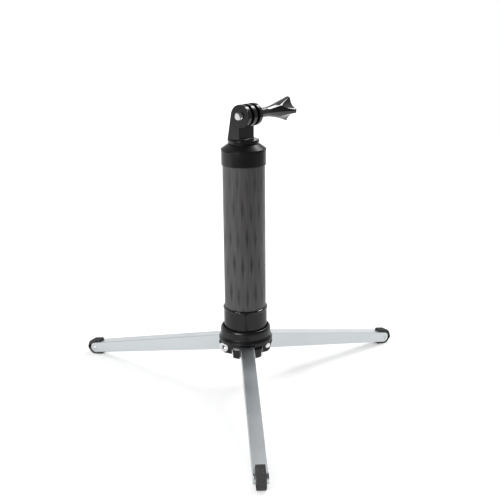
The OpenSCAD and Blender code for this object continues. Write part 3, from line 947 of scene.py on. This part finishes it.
class STICK_OT_legs(Operator):
    """Makes the three folding legs: open channels with round ends and softened rims"""
    bl_idname = "stick.legs"
    bl_label = "Legs"

    def execute(self, context):
        leg = context.scene.stick_legs
        foot = context.scene.stick_feet
        end = leg.end_radius
        far = 2 * end + leg.rise
        web_end = LEG_LENGTH - foot.tail - PART_GAP
        outline = rounded([(-end, -end, end), (LEG_LENGTH + end, -end, end), (LEG_LENGTH + end, end, end),
                           (0, leg.rise, leg.root_corner), (0, end, 0), (-end, end, end)], 10)

        def under_web(s):
            return leg.rise + (end - leg.rise) * s / LEG_LENGTH - leg.web

        hollow = [(-far, -far), (LEG_LENGTH + far, -far), (LEG_LENGTH + far, far), (web_end, far),
                  (web_end, under_web(web_end)), (leg.web_start, under_web(leg.web_start)),
                  (leg.web_start, far), (-far, far)]
        half = LEG_WIDTH / 2
        inside = half - leg.wall
        for i in LEGS:
            side = on_side(leg_frame(i))
            pivot_bore = rod("pivot_bore", PIVOT_R + RUN_GAP, -far, far, side)
            pin_bore = rod("pin_bore", PIN_R + SEAT_GAP, -far, far,
                           side @ Matrix.Translation((LEG_LENGTH, 0, 0)))
            piece = plate(f"leg_channel_{i}", outline, -half, half, side)
            cut(piece, plate("hollow", hollow, -inside, inside, side), pivot_bore, pin_bore)
            soften(piece, leg.rim, 4, lambda middle: abs(middle.z) > half - TINY
                   and middle.to_2d().length > end - leg.rim
                   and (middle.to_2d() - Vector((LEG_LENGTH, 0))).length > end - leg.rim)
            dress(piece, f"leg_{i}", "silver_anodised", f"leg_{i}")
        return {"FINISHED"}


class STICK_OT_foot_pads(Operator):
    """Makes the three rubber pads: a round nose with tread ribs, flat where it stands"""
    bl_idname = "stick.foot_pads"
    bl_label = "Foot pads"

    def execute(self, context):
        foot = context.scene.stick_feet
        nose = LEG_LENGTH + foot.lead + foot.nose_radius
        inner = LEG_LENGTH - foot.tail
        radius = foot.nose_radius
        outline = rounded([(inner, -radius, foot.corner), (nose, -radius, radius), (nose, radius, radius),
                           (inner, radius, foot.corner)], 14)
        half = PAD_WIDTH / 2
        steps = 8
        stops = steps * foot.ribs
        span = half - foot.rim
        tread = [(-span + 2 * span * k / stops,
                  foot.rib_depth * (1 - math.cos(2 * math.pi * k / steps)) / 2) for k in range(1, stops)]
        rims = soft_sections(-half, half, foot.rim)
        middle = len(rims) // 2
        sections = rims[:middle] + tread + rims[middle:]
        for i in LEGS:
            piece = slab(f"foot_tread_{i}", outline, sections, on_side(leg_frame(i)))
            back = piece.matrix_world.inverted()
            for corner in piece.data.vertices:
                place = piece.matrix_world @ corner.co
                place.z = max(place.z, 0)
                corner.co = back @ place
            dress(piece, f"leg_{i}", "rubber", f"foot_pad_{i}")
        return {"FINISHED"}


class STICK_OT_foot_rivets(Operator):
    """Makes the rivets through the feet: flush, with a staked ring in both ends"""
    bl_idname = "stick.foot_rivets"
    bl_label = "Foot rivets"

    def execute(self, context):
        foot = context.scene.stick_feet
        half = LEG_WIDTH / 2
        edge = 0.12 * MM
        # The stake marks lie on a ring, and each is a share of the rivet wide
        stake = 0.62 * PIN_R
        spread = 0.3 * PIN_R
        for i in LEGS:
            place = along_y(leg_frame(i) @ Matrix.Translation((LEG_LENGTH, 0, 0)))
            end = [(PIN_R, half - edge), (PIN_R - edge, half), (stake + spread, half), (stake, half),
                   (stake - spread, half), (0, half)]
            rings = [(r, -height) for r, height in end[::-1]] + end
            piece = turned(f"foot_rivet_{i}", rings, place, SMALL_STEPS, False)
            for corner in piece.data.vertices:
                if abs(corner.co.to_2d().length - stake) < edge / 2 and abs(corner.co.z) > half - edge / 2:
                    turn = math.atan2(corner.co.y, corner.co.x)
                    sink = foot.dimple_depth * max(0, math.cos(foot.dimples * turn))
                    corner.co.z -= math.copysign(sink, corner.co.z)
            dress(piece, f"leg_{i}", "steel", f"foot_pin_{i}")
        return {"FINISHED"}


class STICK_OT_leg_yoke(Operator):
    """Makes the yoke: six lugs that carry the legs, bored for their screws"""
    bl_idname = "stick.leg_yoke"
    bl_label = "Leg yoke"

    def execute(self, context):
        hub = context.scene.stick_hub
        leg = context.scene.stick_legs
        inner = high("pivot_washers_1").x + FACE_GAP
        outer = inner + hub.lug_thickness
        tip = YOKE_R + PART_GAP
        slot = PIVOT_REACH - leg.end_radius - 2 * PART_GAP
        top = PIVOT_Z + hub.lug_rise
        far = 2 * tip
        # Neighbouring lugs meet halfway between their legs
        halfway = math.pi / len(LEGS)
        lug = [(outer / math.tan(halfway), -outer), (tip, -outer), (tip, -inner), (slot, -inner),
               (slot, inner), (tip, inner), (tip, outer)]
        turns = [hinge_frame(i).to_3x3().to_4x4() for i in LEGS]
        plan = [(turn @ Vector((x, y, 0))).to_2d() for turn in turns for x, y in lug]
        edge = hub.lug_edge
        piece = slab("lug_yoke", plan, soft_sections(YOKE_Z, top, edge))
        # The lugs' tips are turned in one go, with a round lower edge and a chamfer twice as high as wide
        corner = hub.lug_corner
        chamfer = hub.lug_chamfer
        foot = YOKE_R - hub.lug_draft
        turning = ([(0, YOKE_Z - PART_GAP), (foot - corner, YOKE_Z - PART_GAP)]
                   + arc((foot - corner, YOKE_Z + corner), corner, -90, 0, 10)
                   + [(YOKE_R, top - 2 * chamfer), (YOKE_R - 1.5 * chamfer, top + chamfer),
                      (0, top + chamfer)])
        combine(piece, "INTERSECT", [turned("turning", turning, steps=2 * ROUND_STEPS, closed=False)])
        combine(piece, "UNION", [rod("boss", slot - PART_GAP, PIVOT_Z, BELL_Z, steps=ROUND_STEPS)])
        cutters = [rod("bore", PIVOT_R + SEAT_GAP, -far, far, along_y(hinge_frame(i))) for i in LEGS]
        bolt_head_r = high("base_bolt").x + FACE_GAP
        bolt_seat = low("base_bolt").z + hub.bolt_head_height
        cutters.append(rod("bolt_bore", BOLT_R + SEAT_GAP, 0, far, steps=ROUND_STEPS))
        cutters.append(rod("bolt_seat", bolt_head_r, 0, bolt_seat, steps=ROUND_STEPS))
        cut(piece, *cutters)
        dress(piece, "handle", "black_anodised", "leg_yoke")
        # The chamfers over the tips stay crisp
        piece.data.set_sharp_from_angle(angle=CRISP_ANGLE)
        return {"FINISHED"}


class STICK_OT_cap_screws(Operator):
    """Makes the pivot screws and the base bolt, with sockets and threads"""
    bl_idname = "stick.cap_screws"
    bl_label = "Cap screws"

    def execute(self, context):
        hub = context.scene.stick_hub
        tip = low("pivot_screw_1").x
        top = high("pivot_screw_1").x
        for i in LEGS:
            rings = cap_screw_rings(PIVOT_R, PIVOT_HEAD_R, tip, top - hub.head_height, top,
                                    hub.socket_width, hub.socket_depth, hub.pivot_pitch, hub.pivot_thread)
            piece = turned(f"pivot_cap_screw_{i}", rings, along_y(hinge_frame(i)), SMALL_STEPS, False)
            dress(piece, "handle", "steel", f"pivot_screw_{i}")
        # The bolt points up, with its head in the yoke
        lowest = low("base_bolt").z
        reach = high("base_bolt").z - lowest
        rings = cap_screw_rings(BOLT_R, high("base_bolt").x, -reach, -hub.bolt_head_height, 0,
                                hub.bolt_socket_width, hub.bolt_socket_depth,
                                hub.bolt_pitch, hub.bolt_thread)
        flipped = Matrix.Translation((0, 0, lowest)) @ Matrix.Rotation(math.pi, 4, "X")
        piece = turned("hub_cap_bolt", rings, flipped, SMALL_STEPS, False)
        dress(piece, "handle", "steel", "base_bolt")
        return {"FINISHED"}


class STICK_OT_pivot_washers(Operator):
    """Makes the pairs of nylon washers between legs and lugs"""
    bl_idname = "stick.pivot_washers"
    bl_label = "Pivot washers"

    def execute(self, context):
        outer = high("pivot_washers_1").x
        radius = (high("pivot_washers_1").z - low("pivot_washers_1").z) / 2
        inner = LEG_WIDTH / 2 + FACE_GAP
        bore = PIVOT_R + SEAT_GAP
        edge = 0.1 * MM
        for i in LEGS:
            bm = bmesh.new()
            for side in (-1, 1):
                section = sleeve(bore, radius, inner, outer, edge, edge, 3)
                add_turned(bm, [(r, side * height) for r, height in section], SMALL_STEPS, True)
            piece = piece_from(f"pivot_washer_pair_{i}", bm, along_y(hinge_frame(i)))
            dress(piece, "handle", "nylon", f"pivot_washers_{i}")
        return {"FINISHED"}


class STICK_OT_hub_bell(Operator):
    """Makes the bell over the yoke: a flared skirt with a notch over each leg"""
    bl_idname = "stick.hub_bell"
    bl_label = "Hub bell"

    def execute(self, context):
        hub = context.scene.stick_hub
        skirt_r = high("hub_bell").x
        bowl_r = TUBE_R + SEAT_GAP + context.scene.stick_handle.sleeve_wall + 2 * PART_GAP
        neck_r = bowl_r + hub.neck_wall
        bore = BOLT_R + SEAT_GAP
        flare_z = BELL_Z + hub.skirt_height
        edge = hub.bell_edge
        skirt = [(bore, BELL_Z, 0), (skirt_r - hub.skirt_draft, BELL_Z, edge),
                 (skirt_r, BELL_Z + hub.skirt_height / 2, 0)]
        flare = [(skirt_r, flare_z, 2 * edge), (neck_r, flare_z + hub.flare_height, 2 * edge)]
        # The lip draws in along an arc that starts upright
        turn = 2 * math.atan2(hub.lip_width, hub.lip_height)
        radius = hub.lip_height / math.sin(turn)
        lip = arc((neck_r - radius, BELL_TOP_Z - hub.lip_height), radius, 0, math.degrees(turn), 6)
        lip = [(r, z, 0) for r, z in lip[:-1]] + [(*lip[-1], hub.lip_edge)]
        bowl = [(bowl_r, BELL_TOP_Z, edge / 2), (bowl_r, BOWL_Z, 0), (bore, BOWL_Z, 0)]
        piece = turned("bell_shell", rounded(skirt + flare + lip + bowl))
        # The notches slope with the legs
        notch_in = -2 * PART_GAP
        half = LEG_WIDTH / 2 + PART_GAP
        far = 2 * skirt_r
        notch = [(notch_in, -half), (far, -half), (far, half), (notch_in, half)]
        top = context.scene.stick_legs.rise + hub.notch_gap
        cut(piece, *[plate("notch", notch, -far, top, leg_frame(i)) for i in LEGS])
        soften(piece, edge, 2, lambda middle: middle.z < BOWL_Z - TINY
               and middle.to_2d().length > PIVOT_REACH)
        dress(piece, "handle", "black_anodised", "hub_bell")
        return {"FINISHED"}


class STICK_OT_ferrule(Operator):
    """Makes the ferrule under the tube and the polished bead on its rim"""
    bl_idname = "stick.ferrule"
    bl_label = "Ferrule"

    def execute(self, context):
        handle = context.scene.stick_handle
        edge = handle.sleeve_edge
        bore = BOLT_R + SEAT_GAP
        hole = TUBE_R + SEAT_GAP
        bead_z = RIM_TOP_Z - handle.bead_height
        rim_z = RIM_TOP_Z - handle.rim_height
        wall = hole + handle.sleeve_wall
        cup = rounded([(bore, BOWL_Z, edge), (wall, BOWL_Z, edge), (wall, rim_z, handle.rim_fillet),
                       (RIM_R, bead_z, 0), (hole, bead_z, 0), (hole, TUBE_Z, 0), (bore, TUBE_Z, 0)])
        dress(turned("ferrule_cup", cup), "handle", "ferrule_grey", "bottom_ferrule")
        bulge = handle.bead_height
        bead = [(hole, bead_z)] + [(hole + (RIM_R - hole) * math.cos(a), bead_z + bulge * math.sin(a))
                                   for a in [math.radians(90 * k / 10) for k in range(11)]]
        dress(turned("ferrule_bead", bead), "handle", "gloss_black")
        return {"FINISHED"}


class STICK_OT_handle_tube(Operator):
    """Makes the carbon tube and the collar around its top"""
    bl_idname = "stick.handle_tube"
    bl_label = "Handle tube"

    def execute(self, context):
        handle = context.scene.stick_handle
        edge = handle.sleeve_edge
        bore = TUBE_R - handle.tube_wall
        tube = sleeve(bore, TUBE_R, TUBE_Z, TUBE_TOP_Z, edge, edge)
        dress(turned("carbon_tube", tube), "handle", "carbon", "handle_tube")
        collar = sleeve(TUBE_R + SEAT_GAP, COLLAR_R, COLLAR_Z, COLLAR_TOP_Z, edge)
        dress(turned("collar_sleeve", collar), "handle", "black_anodised", "top_collar")
        return {"FINISHED"}


class STICK_OT_lock_nut(Operator):
    """Makes the lock nut: a cone with a lip, on a spigot that turns in the tube"""
    bl_idname = "stick.lock_nut"
    bl_label = "Lock nut"

    def execute(self, context):
        handle = context.scene.stick_handle
        lip_r = high("lock_nut").x
        base = COLLAR_TOP_Z + FACE_GAP
        top = high("lock_nut").z
        bore = POLE_R + RUN_GAP + PART_GAP / 2
        spigot_in = POLE_R + RUN_GAP + handle.spigot_room
        spigot_out = spigot_in + handle.spigot_wall
        foot = low("lock_nut").z
        edge = handle.sleeve_edge
        section = rounded([(spigot_in, foot, 0), (spigot_out, foot, 0), (spigot_out, base, 0),
                           (lip_r, base, edge / 2), (lip_r, base + handle.lip_height, edge),
                           (bore + handle.top_wall, top, edge), (bore, top, 0), (bore, base, 0),
                           (spigot_in - handle.spigot_edge, base, 0)])
        dress(turned("lock_cone", section), "lock_nut", "black_anodised", "lock_nut", look="matt_black")
        return {"FINISHED"}


class STICK_OT_pole(Operator):
    """Makes the sliding tube, and finishes the parts that work inside the handle"""
    bl_idname = "stick.pole"
    bl_label = "Pole"

    def execute(self, context):
        handle = context.scene.stick_handle
        bore = POLE_R - handle.pole_wall
        edge = handle.sleeve_edge / 2
        section = sleeve(bore, POLE_R, low("sliding_tube").z, POLE_TOP_Z, edge, edge)
        dress(turned("pole_tube", section), "pole", "black_anodised", "sliding_tube")
        inner = {"thread_insert": "bare_aluminium", "collet": "nylon", "glide_bush": "nylon",
                 "head_plug": "bare_aluminium", "head_stud": "steel"}
        for node, slot in inner.items():
            solid = frame["nodes"][node]
            solid.data.materials.clear()
            solid.data.materials.append(finish(slot))
        return {"FINISHED"}


def fork_half(fork):
    """Half of the fork's width along the clamp."""
    return (3 * fork.prong + 2 * fork.slot) / 2


class STICK_OT_camera_fork(Operator):
    """Makes the camera fork: three round-headed prongs on a block and a disc"""
    bl_idname = "stick.camera_fork"
    bl_label = "Camera fork"

    def execute(self, context):
        fork = context.scene.stick_fork
        screw = context.scene.stick_thumbscrew
        head = Vector((CLAMP_CENTRE.dot(FORK_BACK), CLAMP_CENTRE.z))
        radius = fork.head_radius
        block_z = POLE_TOP_Z + fork.disc_height
        root_z = block_z - fork.disc_height / 2
        half = fork_half(fork)
        pitch = fork.prong + fork.slot
        slot_z = head.y - radius - PART_GAP / 2
        # The back edge leans in from the block to touch the round head
        span = Vector((fork.back - head.x, head.y - block_z))
        lean = math.degrees(math.acos(radius / span.length) - math.atan2(span.y, span.x))
        front_drop = math.degrees(math.acos((fork.front + head.x) / radius))
        # The toe's fillet runs out a little way into the disc
        toe_sink = fork.disc_height / 10
        toe = (-fork.front - fork.toe, block_z + fork.toe - toe_sink)
        outline = ([(toe[0], root_z)] + arc((fork.back - fork.toe, block_z), block_z - root_z, -90, 0, 6)
                   + arc(head, radius, lean, 180 + front_drop, 48) + arc(toe, fork.toe, 0, -90, 8))
        piece = slab("fork_head", outline, soft_sections(-half, half, fork.edge), FORK_FRAME)
        far = 4 * radius
        cutters = [rod("clamp_bore", screw.screw_radius + RUN_GAP, -far, far, CLAMP_FRAME)]
        for side in (-1, 1):
            start = side * pitch / 2 - fork.slot / 2
            gap = [(-far, slot_z), (far, slot_z), (far, slot_z + far), (-far, slot_z + far)]
            cutters.append(plate("slot", gap, start, start + fork.slot, FORK_FRAME))
        cut(piece, *cutters)
        soften(piece, fork.edge, 3, lambda middle: middle.y > slot_z + fork.toe
               and abs(middle.z) < half - fork.prong / 2)
        disc_r = POLE_R + fork.disc_proud
        edge = 2 * fork.edge
        disc = ([(0, POLE_TOP_Z)] + arc((disc_r - fork.edge, POLE_TOP_Z + fork.edge), fork.edge, -90, 0, 4)
                + arc((disc_r - edge, block_z - edge), edge, 0, 90, 5) + [(0, block_z)])
        combine(piece, "UNION", [turned("disc", disc, closed=False)])
        dress(piece, "pole", "black_anodised", "camera_fork", look="smooth_black")
        return {"FINISHED"}


class STICK_OT_thumbscrew(Operator):
    """Makes the clamp screw and its knob: a trumpet with four finger flutes"""
    bl_idname = "stick.thumbscrew"
    bl_label = "Thumbscrew"

    def execute(self, context):
        fork = context.scene.stick_fork
        sizes = context.scene.stick_thumbscrew
        half = fork_half(fork)
        base = half + PART_GAP
        tip = -half - sizes.screw_proud
        chamfer = sizes.screw_chamfer
        radius = sizes.screw_radius
        rings = ([(0, tip), (radius - chamfer, tip), (radius, tip + chamfer)]
                 + thread(radius, sizes.pitch, tip + chamfer, base)
                 + [(radius, base + sizes.hold), (0, base + sizes.hold)])
        screw = turned("clamp_thread", rings, CLAMP_FRAME, SMALL_STEPS, False)
        dress(screw, "thumbscrew", "steel", "clamp_screw")
        resting = CLAMP_FRAME @ Matrix.Rotation(sizes.turn, 4, "Z")
        knob = turned("knob_trumpet", self.knob_rings(sizes, base), resting, KNOB_STEPS, False)
        dress(knob, "thumbscrew", "gloss_black", "thumb_knob")
        return {"FINISHED"}

    @staticmethod
    def knob_rings(sizes, base):
        """Rings of the knob from the bottom of its bore, out over the stem and on to its end face."""
        end = base + sizes.knob_length
        edge = sizes.end_edge
        flare = base + sizes.stem_length
        bore = sizes.screw_radius + SEAT_GAP
        axis = sizes.knob_radius - sizes.flute_depth + sizes.flute_radius

        def trumpet(height):
            share = max(0, (height - flare) / (end - edge - flare))
            return sizes.stem_radius + (sizes.knob_radius - sizes.stem_radius) * share ** sizes.flare_power

        def flute(turn):
            off = turn % (math.pi / 2) - math.pi / 4
            room = sizes.flute_radius ** 2 - (axis * math.sin(off)) ** 2
            return axis * math.cos(off) - math.sqrt(room) if room > 0 else axis

        def fluted(radius, draw=0.0):
            def reach(turn):
                other = flute(turn)
                share = min(1, max(0, 0.5 + (other - radius) / (2 * sizes.lobe_edge)))
                blend = other + (radius - other) * share - sizes.lobe_edge * share * (1 - share)
                return blend - draw
            return reach

        rings = [(0, base + sizes.hold), (bore, base + sizes.hold), (bore, base),
                 (sizes.stem_radius - edge / 2, base), (sizes.stem_radius, base + edge / 2)]
        steps = 40
        for k in range(steps + 1):
            height = flare + (end - edge - flare) * k / steps
            rings.append((fluted(trumpet(height)), height))
        for draw, rise in arc((edge, 0), edge, 180, 90, 5)[1:]:
            rings.append((fluted(sizes.knob_radius, draw), end - edge + rise))
        rings.append((0, end))
        return rings


class STICK_OT_studio(Operator):
    """Sets up the camera, the white floor and the soft light"""
    bl_idname = "stick.studio"
    bl_label = "Studio"

    def execute(self, context):
        scene = context.scene
        studio = scene.stick_studio
        scene.view_settings.view_transform = "Standard"
        self.add_camera(scene, studio)
        self.add_floor(scene, studio)
        self.add_world(scene, studio)
        for side in ("left", "right"):
            self.add_lamp(scene, studio, side)
        return {"FINISHED"}

    @staticmethod
    def add_camera(scene, studio):
        """A camera at the photograph's viewing angle."""
        data = bpy.data.cameras.new("camera")
        data.lens = studio.lens
        data.sensor_width = studio.sensor
        data.clip_start = 0.01
        camera = bpy.data.objects.new("camera", data)
        scene.collection.objects.link(camera)
        camera.matrix_world = (Matrix.Translation(studio.camera_place)
                               @ Matrix.Rotation(-studio.yaw, 4, "Z")
                               @ Matrix.Rotation(math.radians(90) - studio.pitch, 4, "X")
                               @ Matrix.Rotation(studio.roll, 4, "Z"))
        scene.camera = camera

    @staticmethod
    def add_floor(scene, studio):
        """A white floor that keeps the shadow and runs on, white, into the distance."""
        deep = (studio.floor_front + studio.floor_back) / 2
        wide = (studio.floor_right + studio.floor_back) / 2
        spread = (Matrix.Translation((wide - studio.floor_back, studio.floor_back - deep, 0))
                  @ Matrix.Diagonal((wide, deep, 1, 1)))
        bm = bmesh.new()
        bmesh.ops.create_grid(bm, x_segments=8, y_segments=8, size=1.0, matrix=spread)
        floor = piece_from("floor", bm, Matrix())
        material, net, shader = new_material("white_floor")
        grain = net.group(fine_grain(), scale=300.0, contrast=0.01)
        net.feed(shader.inputs["Base Color"], tinted(net, scene.stick_finishes.floor, grain["Tone"]))
        even(shader, {"Roughness": 0.9, "Specular IOR Level": 0.0, "Emission Color": WHITE})
        away = net.node("ShaderNodeVectorMath", {0: net.place()}, operation="LENGTH").outputs["Value"]
        fade = (studio.floor_near, studio.floor_far)
        path = net.node("ShaderNodeLightPath").outputs
        seen = net.math("MAXIMUM", path["Is Camera Ray"], path["Is Transmission Ray"])
        straight = net.math("MULTIPLY", seen, net.remap(away, *fade, studio.floor_lift, studio.floor_white))
        mirrored = net.math("MULTIPLY", path["Is Glossy Ray"],
                            net.remap(away, *fade, 0.0, studio.floor_white))
        net.feed(shader.inputs["Emission Strength"], net.math("ADD", straight, mirrored))
        floor.data.materials.append(material)

    @staticmethod
    def add_world(scene, studio):
        """White all round, with a darker room behind the camera and overhead for what is polished."""
        world = bpy.data.worlds.new("studio")
        world.use_nodes = True
        scene.world = world
        net = Net(world.node_tree)
        direction = net.node("ShaderNodeTexCoord").outputs["Generated"]
        split = net.node("ShaderNodeSeparateXYZ", {"Vector": direction}).outputs
        # Parts of a direction, between which one side of the room passes into the next
        front_to_back = (-0.45, 0.75)
        middle_to_right = (0.5, 0.95)
        over_front_to_back = (0.22, 0.45)
        level_to_above = (0.15, 0.5)
        level = net.math("MULTIPLY", net.remap(split["Y"], *front_to_back, studio.room_front, 1.0),
                         net.remap(split["X"], *middle_to_right, 1.0, studio.room_right))
        above = net.remap(split["Y"], *over_front_to_back, studio.room_front, studio.room_above)
        height = net.remap(split["Z"], *level_to_above, 0.0, 1.0)
        room = net.math("ADD", net.math("MULTIPLY", level, net.math("SUBTRACT", 1.0, height)),
                        net.math("MULTIPLY", above, height))
        path = net.node("ShaderNodeLightPath").outputs
        glossy = net.math("MULTIPLY", path["Is Glossy Ray"], room)
        seen = net.math("MAXIMUM", path["Is Camera Ray"], path["Is Transmission Ray"])
        direct = net.math("MAXIMUM", net.math("MAXIMUM", seen, glossy),
                          net.math("MULTIPLY", path["Is Diffuse Ray"], studio.ambient))
        background = world.node_tree.nodes["Background"]
        background.inputs["Color"].default_value = WHITE
        net.feed(background.inputs["Strength"], direct)

    @staticmethod
    def add_lamp(scene, studio, side):
        """A soft wide lamp, turned to the stick's middle."""
        data = bpy.data.lights.new(f"{side}_lamp", "AREA")
        data.shape = "RECTANGLE"
        data.size = getattr(studio, f"{side}_width")
        data.size_y = getattr(studio, f"{side}_height")
        data.energy = getattr(studio, f"{side}_power")
        lamp = bpy.data.objects.new(f"{side}_lamp", data)
        scene.collection.objects.link(lamp)
        place = Vector(getattr(studio, f"{side}_place"))
        lamp.location = place
        aim = Vector((0, 0, (CAD_BOX[0][2] + CAD_BOX[1][2]) / 2))
        lamp.rotation_euler = (aim - place).to_track_quat("-Z", "Y").to_euler()


GROUPS = {
    "stick_legs": LegSizes,
    "stick_feet": FootSizes,
    "stick_hub": HubSizes,
    "stick_handle": HandleSizes,
    "stick_fork": ForkSizes,
    "stick_thumbscrew": ThumbscrewSizes,
    "stick_finishes": Finishes,
    "stick_studio": StudioSettings,
}
OPERATORS = (STICK_OT_studio, STICK_OT_legs, STICK_OT_foot_pads, STICK_OT_foot_rivets, STICK_OT_leg_yoke,
             STICK_OT_cap_screws, STICK_OT_pivot_washers, STICK_OT_hub_bell, STICK_OT_ferrule,
             STICK_OT_handle_tube, STICK_OT_lock_nut, STICK_OT_pole, STICK_OT_camera_fork,
             STICK_OT_thumbscrew)


class STICK_PT_dresser(Panel):
    """Lists the sizes, the finishes and the operators"""
    bl_idname = "STICK_PT_dresser"
    bl_label = "Camera Stick"
    bl_space_type = "VIEW_3D"
    bl_region_type = "UI"
    bl_category = "Stick"

    def draw(self, context):
        for operator in OPERATORS:
            self.layout.operator(operator.bl_idname)
        for name, group in GROUPS.items():
            box = self.layout.box()
            box.label(text=group.__name__)
            for key in group.__annotations__:
                box.prop(getattr(context.scene, name), key)


def register():
    """Registers the property groups, the operators and the panel."""
    for name, group in GROUPS.items():
        bpy.utils.register_class(group)
        setattr(bpy.types.Scene, name, PointerProperty(type=group))
    for cls in (*OPERATORS, STICK_PT_dresser):
        bpy.utils.register_class(cls)


def unregister():
    """Takes back what register did."""
    for cls in (STICK_PT_dresser, *reversed(OPERATORS)):
        bpy.utils.unregister_class(cls)
    for name, group in GROUPS.items():
        delattr(bpy.types.Scene, name)
        bpy.utils.unregister_class(group)


def main():
    """Builds the studio and every piece."""
    register()
    bpy.ops.stick.studio()
    bpy.ops.stick.legs()
    bpy.ops.stick.foot_pads()
    bpy.ops.stick.foot_rivets()
    bpy.ops.stick.leg_yoke()
    bpy.ops.stick.cap_screws()
    bpy.ops.stick.pivot_washers()
    bpy.ops.stick.hub_bell()
    bpy.ops.stick.ferrule()
    bpy.ops.stick.handle_tube()
    bpy.ops.stick.lock_nut()
    bpy.ops.stick.pole()
    bpy.ops.stick.camera_fork()
    bpy.ops.stick.thumbscrew()


if __name__ == "__main__":
    main()
